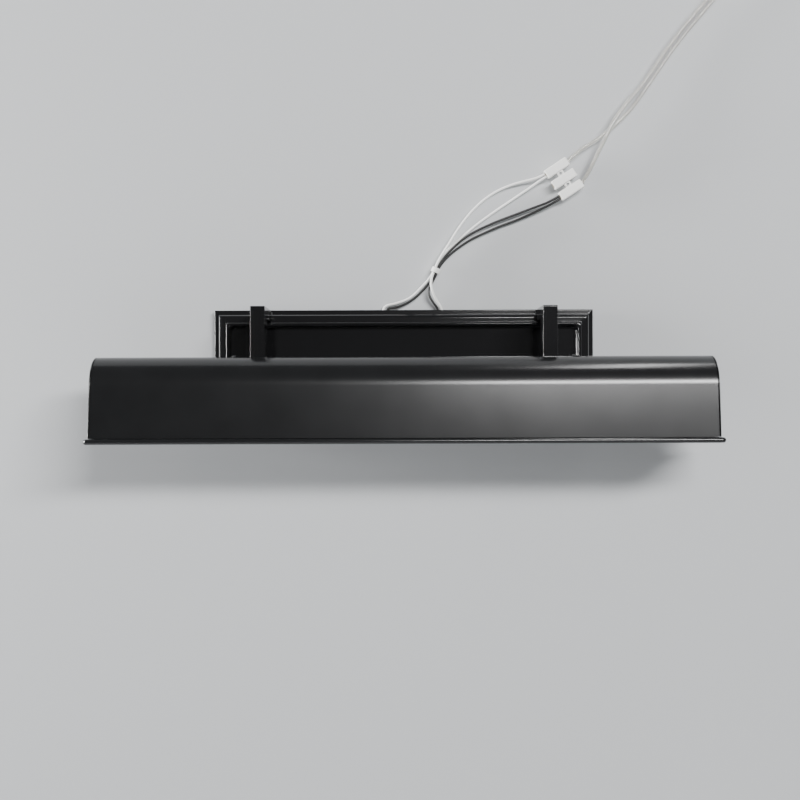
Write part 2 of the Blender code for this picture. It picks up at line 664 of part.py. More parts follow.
def inner_leads(name, side):
    """A white and a black lead in each arm, and their ends from the pin to the lampholder."""
    exit_x = EXITS_X[0] if side < 0 else EXITS_X[1]
    for colour, lane in (("white", 1), ("black", -1)):
        shift = lane * 1.05 * MM
        pin_end = ARM_X + PIN_HALF
        level = 30.6 * MM + shift
        end_x = side * exit_x + lane * 1.4 * MM
        route = [(pin_end, PIVOT[0] + shift, PIVOT[1]),
                 (ARM_X + 8 * MM, PIVOT[0] + shift, PIVOT[1]),
                 (ARM_X + 3.4 * MM, PIVOT[0] + shift, PIVOT[1] + 0.2 * MM),
                 (ARM_X + 0.6 * MM, PIVOT[0] + shift, PIVOT[1] + 3.6 * MM),
                 (ARM_X, PIVOT[0] + shift, PIVOT[1] + 10 * MM),
                 (ARM_X, PIVOT[0] + shift, 10 * MM),
                 (ARM_X, PIVOT[0] + shift, 26 * MM),
                 (ARM_X, 48.8 * MM + shift, 32.3 * MM + 0.6 * shift),
                 (ARM_X, 46.5 * MM + 0.8 * shift, 34.1 * MM + 0.9 * shift),
                 (ARM_X, 38 * MM, 33.9 * MM + shift),
                 (ARM_X, 14 * MM, 33.9 * MM + shift),
                 (ARM_X - 0.8 * MM, 6.8 * MM, 33.6 * MM + shift),
                 (ARM_X - 3.6 * MM, 3.4 * MM, 33.0 * MM + shift),
                 (ARM_X - 10 * MM, 2.4 * MM, 32.0 * MM + shift),
                 (ARM_X - 30 * MM, 2.4 * MM, level),
                 (end_x + 9 * MM, 2.4 * MM, level),
                 (end_x + 2.6 * MM, LEAD_DEPTH, level + 0.9 * MM),
                 (end_x + 0.4 * MM, LEAD_DEPTH, level + 3.2 * MM),
                 (end_x, LEAD_DEPTH, 36.4 * MM),
                 (end_x, LEAD_DEPTH, 37.4 * MM)]
        points = [mirrored(side, *point) for point in route]
        wire("arm_lead_%s_%s" % (colour, name), points, LEAD_RADIUS, colour + "_lead",
             hidden=True)
        back = CARRIER_END + 5.2 * MM
        tail = [(pin_end + GAP, PIVOT[0] + shift, PIVOT[1]),
                (pin_end + 6 * MM, PIVOT[0] + shift, PIVOT[1]),
                (150 * MM, 48.5 * MM + shift, -10 * MM),
                (192 * MM, 47.5 * MM + shift, -11 * MM),
                (203 * MM, 48.5 * MM + shift, -14 * MM),
                (210 * MM, 52 * MM + shift, -21 * MM),
                (211.5 * MM, 56 * MM + shift, -28 * MM),
                (208.5 * MM, 59 * MM + shift, -33 * MM),
                (back, 60 * MM + shift, -34 * MM)]
        wire("holder_lead_%s_%s" % (colour, name), [mirrored(side, *point) for point in tail],
             LEAD_RADIUS, colour + "_lead", hidden=True)


# ---------------------------------------------------------------- free leads and supply cable

def block_point(along, across, depth):
    """A point on the terminal block from its own directions."""
    u = Vector((cos(BLOCK_ANGLE), 0, sin(BLOCK_ANGLE)))
    v = Vector((sin(BLOCK_ANGLE), 0, -cos(BLOCK_ANGLE)))
    return BLOCK_MIDDLE + along * u + across * v + Vector((0, -depth, 0))


def block_matrix(across, depth):
    """Local x along the poles, local y across them and local z away from the wall."""
    u = Vector((cos(BLOCK_ANGLE), 0, sin(BLOCK_ANGLE)))
    v = Vector((-sin(BLOCK_ANGLE), 0, cos(BLOCK_ANGLE)))
    n = Vector((0, -1, 0))
    turn = Matrix((u, v, n)).transposed().to_4x4()
    return Matrix.Translation(block_point(0, across, depth)) @ turn


def add_box(shape, low, high):
    """Add one box to a bmesh."""
    made = bmesh.ops.create_cube(shape, size=1.0)["verts"]
    size = Vector(high) - Vector(low)
    bmesh.ops.scale(shape, vec=size, verts=made)
    bmesh.ops.translate(shape, vec=(Vector(low) + Vector(high)) / 2, verts=made)


TUBE_DEPTH = 6.4 * MM               # depth of the block's wire holes
TOWER_ALONG = 5.6 * MM              # distance of a screw tower from the block's middle


def terminal_block():
    """Three-pole strip, plain side out: barrels joined by a web, with screw towers at the wall."""
    half = BLOCK_LENGTH / 2
    body = None
    for pole in (-1, 0, 1):
        shape = bmesh.new()
        add_box(shape, (-half, -3.5 * MM, 3.05 * MM), (half, 3.5 * MM, 9.75 * MM))
        edges = [edge for edge in shape.edges
                 if abs(edge.verts[0].co.x - edge.verts[1].co.x) > half]
        bmesh.ops.bevel(shape, geom=edges, offset=1.2 * MM, segments=2, affect="EDGES")
        barrel = from_bmesh("block_barrel_%d" % (pole + 1), shape, None)
        barrel.matrix_world = block_matrix(pole * BLOCK_PITCH, 0)
        if pole == -1:
            body = barrel
            continue
        cut(body, [barrel], "UNION")
    body.name = "terminal_block"
    CUTTERS.objects.unlink(body)
    PARTS.objects.link(body)
    body.hide_render = False
    body.display_type = "TEXTURED"
    body.data.materials.append(material("white_plastic", "terminal_block"))
    towers = []
    for pole in (-1, 0, 1):
        for end in (-1, 1):
            low = block_point(end * TOWER_ALONG, pole * BLOCK_PITCH, 0.5 * MM)
            high = block_point(end * TOWER_ALONG, pole * BLOCK_PITCH, 4.3 * MM)
            towers.append(cylinder("tower_%d_%d" % (pole, end), low, high, 2.9 * MM, segments=10))
    web = box("block_web", (-2.6 * MM, -BLOCK_PITCH, 6.6 * MM), (2.6 * MM, BLOCK_PITCH, 8.6 * MM))
    web.matrix_world = block_matrix(0, 0)
    cut(body, towers + [web], "UNION")
    holes = []
    for pole in (-1, 0, 1):
        holes.append(cylinder("pole_hole_%d" % pole,
                              block_point(-15 * MM, pole * BLOCK_PITCH, TUBE_DEPTH),
                              block_point(15 * MM, pole * BLOCK_PITCH, TUBE_DEPTH), 2.55 * MM,
                              segments=10))
        for end in (-1, 1):
            holes.append(cylinder("screw_hole_%d_%d" % (pole, end),
                                  block_point(end * TOWER_ALONG, pole * BLOCK_PITCH, -1 * MM),
                                  block_point(end * TOWER_ALONG, pole * BLOCK_PITCH, TUBE_DEPTH),
                                  1.9 * MM, segments=10))
    for gap in (-0.5, 0.5):
        holes.append(cylinder("web_hole_%d" % (gap * 2), block_point(0, gap * BLOCK_PITCH, 5 * MM),
                              block_point(0, gap * BLOCK_PITCH, 12 * MM), 1.15 * MM, segments=12))
    cut(body, holes)


def terminal_inserts():
    """A brass tube in each pole, with its two clamping screws run down into it."""
    for pole, label in ((-1, "upper"), (0, "middle"), (1, "lower")):
        start = block_point(-8.2 * MM, pole * BLOCK_PITCH, TUBE_DEPTH)
        end = block_point(8.2 * MM, pole * BLOCK_PITCH, TUBE_DEPTH)
        length = (end - start).length
        ring = [(2.2 * MM, length), (2.2 * MM, 0.0), (1.75 * MM, 0.0), (1.75 * MM, length)]
        tube = turned("terminal_insert_" + label, ring, start, end - start, "brass", 14, closed=True)
        screws = []
        for side in (-1, 1):
            low = block_point(side * TOWER_ALONG, pole * BLOCK_PITCH, TUBE_DEPTH - 1.9 * MM)
            high = block_point(side * TOWER_ALONG, pole * BLOCK_PITCH, 1.8 * MM)
            screws.append(cylinder("terminal_screw_%s_%d" % (label, side), low, high, 1.5 * MM,
                                   segments=12))
        cut(tube, screws, "UNION")


# Routes in millimetres as (x, depth, z).  Each lead's last point is worked out from its pole.
LEAD_ROUTES = {
    "white_left": [
        (-15.4, 2.4, 37.7), (-15.2, 2.4, 39.2), (-14.2, 2.5, 41.0), (-11.4, 2.5, 42.4),
        (-6.5, 2.5, 43.4), (-1.3, 2.5, 45.0), (4.0, 2.5, 47.3), (8.6, 2.5, 50.7),
        (12.5, 2.5, 54.7), (16.4, 2.5, 58.8), (20.2, 2.5, 63.4), (23.5, 2.5, 68.8),
        (29.7, 2.4, 79.7), (39.2, 2.3, 89.1), (50.0, 2.3, 98.5), (60.8, 2.3, 106.9),
        (73.0, 2.4, 115.4), (85.1, 3.0, 123.5), (95.9, 4.4, 130.6), (102.6, 5.9, 135.2),
    ],
    "black_left": [
        (-12.6, 2.4, 37.7), (-12.4, 2.4, 38.6), (-11.2, 2.5, 39.8), (-8.4, 2.5, 40.3),
        (-4.6, 2.5, 40.9), (0.3, 2.5, 42.7), (5.3, 2.5, 45.3), (10.1, 2.5, 48.9),
        (14.2, 2.5, 53.0), (18.2, 2.5, 57.3), (22.0, 2.5, 62.1), (25.4, 2.5, 68.0),
        (30.6, 2.4, 75.6), (39.2, 2.3, 83.6), (50.0, 2.3, 91.1), (59.4, 2.3, 95.8),
        (73.0, 2.3, 101.7), (86.5, 2.6, 106.7), (99.9, 3.9, 112.4), (108.6, 5.3, 116.4),
        (114.0, 6.2, 119.2),
    ],
    "white_right": [
        (28.9, 2.4, 37.7), (28.8, 2.5, 38.9), (27.8, 3.2, 41.2), (25.6, 4.6, 44.6),
        (23.2, 5.8, 48.8), (21.8, 6.8, 52.6), (20.9, 6.9, 56.2), (20.8, 6.8, 59.6),
        (21.4, 5.4, 63.2), (22.5, 4.6, 66.2), (23.5, 4.6, 68.8), (25.4, 4.6, 73.4),
        (29.0, 4.5, 79.9), (34.5, 3.6, 88.6), (39.8, 2.6, 97.2), (45.9, 2.4, 105.9),
        (52.7, 2.4, 114.0), (61.5, 2.4, 122.1), (70.9, 2.4, 128.3), (81.1, 3.1, 132.7),
        (91.9, 4.7, 135.6), (100.0, 6.0, 137.5),
    ],
    "black_right": [
        (26.1, 2.4, 37.7), (26.0, 2.5, 38.7), (24.8, 3.0, 41.0), (22.2, 4.0, 44.4),
        (19.8, 4.6, 48.6), (19.0, 4.6, 52.8), (20.2, 4.6, 56.6), (22.4, 4.6, 60.6),
        (24.3, 4.6, 64.6), (25.4, 4.6, 68.0), (28.6, 4.6, 74.6), (35.8, 4.6, 83.4),
        (45.9, 4.5, 92.4), (56.0, 4.4, 98.5), (69.6, 4.4, 104.6), (83.1, 4.4, 109.7),
        (96.6, 4.8, 114.7), (107.4, 5.7, 118.6), (112.6, 6.2, 121.0),
    ],
}
CORE_ROUTES = {
    "upper": [
        (131.5, 6.2, 156.6), (136.3, 5.6, 160.4), (148.5, 4.2, 168.2), (158.2, 3.9, 176.2),
        (166.8, 3.9, 184.0), (174.6, 3.9, 192.6), (185.1, 3.9, 207.4), (194.9, 3.9, 221.6),
        (203.5, 3.9, 233.8), (213.7, 3.9, 247.0), (223.8, 3.9, 259.2), (235.0, 3.9, 272.2),
        (242.2, 3.9, 281.0),
    ],
    "lower": [
        (139.4, 6.5, 141.2), (142.6, 7.0, 147.2), (146.8, 7.4, 156.0), (151.6, 7.8, 165.6),
        (156.2, 7.8, 175.0), (162.0, 7.4, 184.6), (170.4, 5.4, 195.8), (182.1, 3.9, 209.5),
        (191.9, 3.9, 223.7), (200.5, 3.9, 236.1), (210.8, 3.9, 249.4), (221.0, 3.9, 261.7),
        (232.2, 3.9, 274.7), (239.3, 3.9, 283.4),
    ],
}
TIE_MIDDLE = (24.5, 3.55, 68.4)
TIE_DIRECTION = (0.42, 0, 0.9)


def route_points(route):
    """Routes in millimetres, as points in metres."""
    return [Vector((x * MM, -depth * MM, z * MM)) for x, depth, z in route]


def free_leads():
    """The four leads from the plate's top edge, through the tie, to the terminal block."""
    for name, route in LEAD_ROUTES.items():
        colour, pair = name.split("_")
        pole = -1 if colour == "white" else 1
        lane = (1.05 if pair == "left" else -1.05) * MM
        end = block_point(-BLOCK_LENGTH / 2 - GAP, pole * BLOCK_PITCH + lane, TUBE_DEPTH)
        wire("lead_" + name, route_points(route) + [end], LEAD_RADIUS, colour + "_lead")


def lead_tie():
    """Plastic tie round the four leads."""
    middle = Vector((TIE_MIDDLE[0] * MM, -TIE_MIDDLE[1] * MM, TIE_MIDDLE[2] * MM))
    ring = [(3.5, 1.9), (3.5, -1.9), (2.75, -1.9), (2.75, 1.9)]
    points = [(r * MM, h * MM) for r, h in ring]
    turned("lead_tie", points, middle, TIE_DIRECTION, "white_plastic", 18, closed=True)


def supply_cores():
    """The two clear-insulated cores, which cross once and then lie side by side."""
    for name, route in CORE_ROUTES.items():
        pole = -1 if name == "upper" else 1
        start = block_point(BLOCK_LENGTH / 2 + GAP, pole * BLOCK_PITCH, TUBE_DEPTH)
        wire("supply_core_" + name, [start] + route_points(route), CORE_RADIUS, "clear_pvc")


def wall_outlet():
    """Small round cord grip on the wall, just past the end of the visible cable."""
    ends = [route_points(CORE_ROUTES[name])[-1] for name in ("upper", "lower")]
    middle = (ends[0] + ends[1]) / 2
    heading = Vector((0.67, 0, 0.74))
    at = middle + heading * 11.2 * MM
    at.y = 0
    profile = [(0, 8.4), (7.5, 8.4), (9.6, 7.6), (10.4, 5.6), (10.4, 0.4), (0, 0.4)]
    body = turned("outlet_cover", [(r * MM, h * MM) for r, h in profile], at, (0, -1, 0),
                  "white_plastic", 20)
    hole = cylinder("outlet_hole", (at.x, 0, at.z), (at.x, -20 * MM, at.z), 1.9 * MM, segments=16)
    cut(body, [hole])
    profile = [(0, 11.0), (1.8, 10.6), (3.2, 9.0), (3.3, 8.7), (1.5, 8.7), (1.5, 1.0), (0, 1.0)]
    turned("outlet_screw", [(r * MM, h * MM) for r, h in profile], at, (0, -1, 0), "zinc_steel", 10)


def build():
    """Make every part."""
    wall_bracket()
    backplate()
    for name, side in SIDES:
        wall_screw(name, side)
        mounting_stud(name, side)
        cap_nut(name, side)
        arm(name, side)
        arm_fixings(name, side)
        pivot_pin(name, side)
        pivot_nuts(name, side)
        hinge_saddle(name, side)
        lamp_carrier(name, side)
        carrier_screw(name, side)
        carrier_nut(name, side)
        lampholder(name, side)
        lamp(name, side)
        inner_leads(name, side)
    shade_shell()
    for name, side in SIDES:
        end_cap(name, side)
    rim_frame()
    free_leads()
    lead_tie()
    terminal_block()
    terminal_inserts()
    supply_cores()
    wall_outlet()


build()
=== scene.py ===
"""Looks of the picture light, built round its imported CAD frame.

Everything is in the frame's metres: +Z up, the wall is y = 0, the light stands out towards -Y.
In the side view, depth is the distance from the wall (-y).
"""

from math import atan2, cos, degrees, pi, radians, sin, sqrt, tan

import bmesh
import bpy
from mathutils import Matrix, Vector


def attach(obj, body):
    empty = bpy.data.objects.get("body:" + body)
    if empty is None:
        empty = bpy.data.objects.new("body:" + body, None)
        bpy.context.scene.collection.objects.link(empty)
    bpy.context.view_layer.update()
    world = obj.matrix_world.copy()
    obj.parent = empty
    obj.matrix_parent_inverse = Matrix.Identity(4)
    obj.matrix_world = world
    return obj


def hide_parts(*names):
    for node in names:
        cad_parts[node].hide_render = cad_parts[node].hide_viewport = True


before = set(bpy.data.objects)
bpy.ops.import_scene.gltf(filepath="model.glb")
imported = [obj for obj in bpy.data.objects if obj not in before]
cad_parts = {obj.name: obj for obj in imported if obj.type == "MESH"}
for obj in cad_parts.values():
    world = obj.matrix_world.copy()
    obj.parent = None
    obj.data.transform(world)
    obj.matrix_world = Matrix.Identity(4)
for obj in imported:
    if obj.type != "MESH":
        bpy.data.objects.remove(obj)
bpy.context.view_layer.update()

MM = 0.001
OUTWARD = (0, -1, 0)
UPWARD = (0, 0, 1)
SHARP_ANGLE = 32
BEVEL_ANGLE = 40

# Sizes in millimetres, the same as the CAD's
GAP = 0.3
PLATE_HALF_X = 143.0
PLATE_HALF_Z = 38.5
PANEL_FRONT = 9.5
STUD_X = 114.0
STUD_Z = -5.0
WALL_SCREW_X = 60.0
EXITS_X = (-14.0, 27.5)
EXIT_WIDTH = 9.0
EXIT_DEPTH = 4.0
ARM_X = 105.0
ARM_WIDTH = 10.5
ARM_WALL = 1.5
ARM_TOP = 38.2
ARM_UNDER = 29.6
ARM_FRONT = 55.0
ARM_BACK = 5.3
LEG_BACK = 44.5
GUSSET_BACK = 37.0
GUSSET_LOW = 18.0
TAB_FRONT = 7.6
TAB_BACK = 6.1
TAB_LOW = 9.0
TAB_SCREW_Z = 14
PIVOT = (49.75, -12.0)
PIN_RADIUS = 3.5
PIN_BORE = 2.4
BORE_RADIUS = 3.8
EAR_X = ARM_WIDTH / 2 + 0.4
EAR_THICK = 1.5
EAR_RADIUS = 6.2
NUT_RADIUS = 5.6
NUT_THICK = 3.6
PIN_HALF = EAR_X + EAR_THICK + GAP + NUT_THICK + 1.0
SHADE_HALF = 217.9
SHADE_CENTRE = (59.3, -21.7)
SHADE_RADIUS = 23.0
SHADE_WALL = 1.2
SHADE_FLARE = 5.9
SHADE_BOTTOM = -55.8
CAP_THICK = 1.2
RIM_TOP = -56.1
RIM_THICK = 3.8
RIM_PROUD = 3.0
SLOT_DEPTHS = (40.9, 58.0)
LAMP_AXIS = (60.0, -34.0)
CARRIER_TOP = -1.6
CARRIER_THICK = 1.4
CARRIER_HALF_Y = 6.5
CARRIER_START = 113.5
CARRIER_END = 200.0
CARRIER_SCREW_X = 121.0
HOLDER_LENGTH = 40.0
BULB_RADIUS = 12.5
BULB_LENGTH = 60.0
LEAD_RADIUS = 0.92
CORE_RADIUS = 1.6
BLOCK_PITCH = 9.9
BLOCK_HALF = 9.7
BLOCK_MIDDLE = Vector((121.3, 0.0, 136.7))
BLOCK_ANGLE = radians(33.0)
BLOCK_ALONG = Vector((cos(BLOCK_ANGLE), 0, sin(BLOCK_ANGLE)))
TUBE_DEPTH = 6.4
TOWER_ALONG = 5.6
SIDES = (("left", -1), ("right", 1))


# ---------------------------------------------------------------- camera

CAMERA_AT = (-0.003, -0.950, -0.0296)
CAMERA_ROLL = 0.2
CAMERA_LENS = 56.25


def make_camera():
    """A camera almost square to the wall, level with the shade."""
    data = bpy.data.cameras.new("camera")
    data.lens = CAMERA_LENS
    data.sensor_width = 36.0
    camera = bpy.data.objects.new("camera", data)
    camera.location = CAMERA_AT
    camera.rotation_euler = (pi / 2, radians(CAMERA_ROLL), 0)
    bpy.context.scene.collection.objects.link(camera)
    bpy.context.scene.camera = camera


make_camera()


# ---------------------------------------------------------------- materials

def node_material(name, colour, roughness, metallic=0.0, vary=0.12, grain=900.0, bump=0.10,
                  stretch=(1, 1, 1), rough_vary=0.05, **sockets):
    """A procedural finish: fine grain in colour, roughness and relief, in metres of the frame."""
    made = bpy.data.materials.new(name)
    made.use_nodes = True
    tree = made.node_tree
    shader = tree.nodes["Principled BSDF"]
    where = tree.nodes.new("ShaderNodeTexCoord")
    mapping = tree.nodes.new("ShaderNodeMapping")
    mapping.inputs["Scale"].default_value = stretch
    fine = tree.nodes.new("ShaderNodeTexNoise")
    fine.inputs["Scale"].default_value = grain
    fine.inputs["Detail"].default_value = 3.0
    broad = tree.nodes.new("ShaderNodeTexNoise")
    broad.inputs["Scale"].default_value = grain / 40
    broad.inputs["Detail"].default_value = 4.0
    tree.links.new(where.outputs["Object"], mapping.inputs["Vector"])
    for noise in (fine, broad):
        tree.links.new(mapping.outputs["Vector"], noise.inputs["Vector"])
    ramp = tree.nodes.new("ShaderNodeValToRGB")
    low = [channel * (1 - vary) for channel in colour]
    high = [min(1.0, channel * (1 + vary)) for channel in colour]
    ramp.color_ramp.elements[0].position = 0.3
    ramp.color_ramp.elements[1].position = 0.7
    ramp.color_ramp.elements[0].color = (*low, 1)
    ramp.color_ramp.elements[1].color = (*high, 1)
    tree.links.new(broad.outputs["Fac"], ramp.inputs["Fac"])
    tree.links.new(ramp.outputs["Color"], shader.inputs["Base Color"])
    spread = tree.nodes.new("ShaderNodeMapRange")
    spread.inputs["To Min"].default_value = max(0.02, roughness - rough_vary)
    spread.inputs["To Max"].default_value = roughness + rough_vary
    tree.links.new(broad.outputs["Fac"], spread.inputs["Value"])
    tree.links.new(spread.outputs["Result"], shader.inputs["Roughness"])
    relief = tree.nodes.new("ShaderNodeBump")
    relief.inputs["Strength"].default_value = bump
    relief.inputs["Distance"].default_value = 0.1 * MM
    tree.links.new(fine.outputs["Fac"], relief.inputs["Height"])
    tree.links.new(relief.outputs["Normal"], shader.inputs["Normal"])
    shader.inputs["Metallic"].default_value = metallic
    for socket, value in sockets.items():
        shader.inputs[socket.replace("_", " ")].default_value = value
    return made


FINISHES = {
    "satin_black": node_material("satin_black", (0.0065, 0.0067, 0.0072), 0.21, grain=1500, bump=0.08,
                                 rough_vary=0.015),
    "gloss_black": node_material("gloss_black", (0.006, 0.006, 0.0065), 0.10, grain=500, bump=0.03,
                                 rough_vary=0.02),
    "zinc_steel": node_material("zinc_steel", (0.52, 0.53, 0.55), 0.36, 1.0, grain=1200, bump=0.2,
                                stretch=(0.08, 1, 1), rough_vary=0.10),
    "brass": node_material("brass", (0.70, 0.50, 0.21), 0.28, 1.0, grain=1400, bump=0.12,
                           stretch=(1, 0.2, 0.2)),
    "white_plastic": node_material("white_plastic", (0.80, 0.80, 0.77), 0.42, vary=0.03, grain=1100,
                                   bump=0.10),
    "opal_glass": node_material("opal_glass", (0.88, 0.88, 0.85), 0.16, vary=0.02, grain=300,
                                bump=0.02, rough_vary=0.03, Coat_Weight=0.6, Coat_Roughness=0.05),
    "white_lead": node_material("white_lead", (0.84, 0.84, 0.82), 0.42, vary=0.05, grain=1300,
                                bump=0.12),
    "black_lead": node_material("black_lead", (0.014, 0.014, 0.014), 0.38, grain=1300, bump=0.12),
    "clear_pvc": node_material("clear_pvc", (0.96, 0.95, 0.92), 0.08, vary=0.03, grain=700, bump=0.05,
                               rough_vary=0.03, Transmission_Weight=0.85, IOR=1.5),
}
STRAND = node_material("tinned_strand", (0.86, 0.85, 0.81), 0.30, 1.0, vary=0.12, grain=1600,
                       bump=0.15)


# ---------------------------------------------------------------- mesh helpers

def settle(made, body, slot, nodes, finish=None):
    """Give a piece its finish, its body and the CAD nodes that it stands for.

    Fixture meshes get weighted normals, which keep the highlights on the moulding narrow.
    """
    made.data.materials.clear()
    made.data.materials.append(finish or FINISHES[slot])
    if made.type == "MESH" and body == "fixture":
        made.modifiers.new("even_shading", "WEIGHTED_NORMAL").keep_sharp = True
    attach(made, body)
    if nodes:
        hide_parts(*nodes)
    return made


def linked(name, data):
    made = bpy.data.objects.new(name, data)
    bpy.context.scene.collection.objects.link(made)
    return made


def from_bmesh(name, shape, sharp=SHARP_ANGLE):
    """An object from a closed bmesh, smooth except at its sharp edges."""
    bmesh.ops.recalc_face_normals(shape, faces=shape.faces)
    mesh = bpy.data.meshes.new(name)
    shape.to_mesh(mesh)
    shape.free()
    mesh.shade_smooth()
    mesh.set_sharp_from_angle(angle=radians(sharp))
    return linked(name, mesh)


def applied(made):
    """Replace an object's mesh by the result of its modifiers."""
    bpy.context.view_layer.update()
    seen = made.evaluated_get(bpy.context.evaluated_depsgraph_get())
    mesh = bpy.data.meshes.new_from_object(seen)
    made.modifiers.clear()
    made.data = mesh
    mesh.shade_smooth()
    mesh.set_sharp_from_angle(angle=radians(SHARP_ANGLE))
    return made


def cut(target, cutters, operation="DIFFERENCE"):
    """Apply boolean cutters to a piece and remove them."""
    for cutter in cutters:
        change = target.modifiers.new("cut", "BOOLEAN")
        change.operation = operation
        change.object = cutter
        change.solver = "EXACT"
    applied(target)
    for cutter in cutters:
        bpy.data.objects.remove(cutter, do_unlink=True)
    return target


def bevelled(made, width, segments=2):
    """Round the sharp edges of a piece."""
    change = made.modifiers.new("bevel", "BEVEL")
    change.width = width * MM
    change.segments = segments
    change.limit_method = "ANGLE"
    change.angle_limit = radians(BEVEL_ANGLE)
    return applied(made)


def box(low, high, name="cutter"):
    """A box between two corners in millimetres."""
    shape = bmesh.new()
    bmesh.ops.create_cube(shape, size=1.0)
    low = Vector(low) * MM
    high = Vector(high) * MM
    bmesh.ops.scale(shape, vec=high - low, verts=shape.verts)
    bmesh.ops.translate(shape, vec=(low + high) / 2, verts=shape.verts)
    return from_bmesh(name, shape)


def direction_matrix(origin, direction):
    turn = Vector(direction).to_track_quat("Z", "Y").to_matrix().to_4x4()
    return Matrix.Translation(Vector(origin) * MM) @ turn


def lathe(name, profile, origin, direction, steps=48, closed=False):
    """A turned solid from (radius, height) points in millimetres along a direction."""
    matrix = direction_matrix(origin, direction)
    shape = bmesh.new()
    rings = []
    for radius, height in profile:
        if radius < 1e-6:
            rings.append([shape.verts.new(matrix @ Vector((0, 0, height * MM)))])
            continue
        ring = []
        for step in range(steps):
            angle = 2 * pi * step / steps
            point = Vector((radius * cos(angle), radius * sin(angle), height)) * MM
            ring.append(shape.verts.new(matrix @ point))
        rings.append(ring)
    pairs = list(zip(rings, rings[1:]))
    if closed:
        pairs.append((rings[-1], rings[0]))
    for first, second in pairs:
        for index in range(steps):
            after = (index + 1) % steps
            corners = [first[index % len(first)], first[after % len(first)],
                       second[after % len(second)], second[index % len(second)]]
            corners = list(dict.fromkeys(corners))
            if len(corners) > 2:
                shape.faces.new(corners)
    return from_bmesh(name, shape)


def drill(radius, depth, origin, direction, steps=32):
    """A round cutter in millimetres, from a point along a direction."""
    profile = [(0, 0), (radius, 0), (radius, depth), (0, depth)]
    return lathe("hole", profile, origin, direction, steps)


def softened(points, radius, closed=False, steps=3):
    """Round each inner corner of a profile of number tuples."""
    route = [Vector(point) for point in points]
    count = len(route)
    result = []
    for index, corner in enumerate(route):
        if not closed and index in (0, count - 1):
            result.append(tuple(corner))
            continue
        before = route[index - 1] - corner
        after = route[(index + 1) % count] - corner
        reach = min(radius, before.length * 0.42, after.length * 0.42)
        start = corner + before.normalized() * reach
        end = corner + after.normalized() * reach
        for step in range(steps + 1):
            t = step / steps
            result.append(tuple(start * (1 - t) ** 2 + corner * 2 * t * (1 - t) + end * t * t))
    return result


def prism(name, outline, thickness, matrix):
    """An outline of local x, y points in millimetres, thickened both ways along local z."""
    shape = bmesh.new()
    rings = []
    for level in (-thickness / 2, thickness / 2):
        rings.append([shape.verts.new(matrix @ (Vector((a, b, level)) * MM)) for a, b in outline])
    shape.faces.new(list(reversed(rings[0])))
    shape.faces.new(rings[1])
    count = len(outline)
    for index in range(count):
        after = (index + 1) % count
        shape.faces.new((rings[0][index], rings[0][after], rings[1][after], rings[1][index]))
    return from_bmesh(name, shape)


def side_matrix(x):
    """Local x is depth, local y is height and local z runs along -X, at a given x."""
    return Matrix(((0, 0, -1, x * MM), (-1, 0, 0, 0), (0, 1, 0, 0), (0, 0, 0, 1)))


def arc(centre, radius, start, end, steps):
    points = []
    for step in range(steps + 1):
        angle = radians(start + (end - start) * step / steps)
        points.append((centre[0] + radius * cos(angle), centre[1] + radius * sin(angle)))
    return points


def ring_stack(name, rings, plane, steps, closed):
    """Rounded rectangles (half a, half b, corner radius, height) joined into one solid."""
    shape = bmesh.new()
    made = []
    for half_a, half_b, radius, height in rings:
        ring = []
        for corner, (sign_a, sign_b) in enumerate(((1, 1), (-1, 1), (-1, -1), (1, -1))):
            middle = (sign_a * (half_a - radius), sign_b * (half_b - radius))
            for a, b in arc(middle, radius, 90 * corner, 90 * corner + 90, steps):
                ring.append(shape.verts.new(plane(a, b, height)))
        made.append(ring)
    pairs = list(zip(made, made[1:]))
    if closed:
        pairs.append((made[-1], made[0]))
    else:
        shape.faces.new(made[0])
        shape.faces.new(list(reversed(made[-1])))
    for first, second in pairs:
        count = len(first)
        for index in range(count):
            after = (index + 1) % count
            shape.faces.new((first[index], first[after], second[after], second[index]))
    return from_bmesh(name, shape)


# ---------------------------------------------------------------- wires

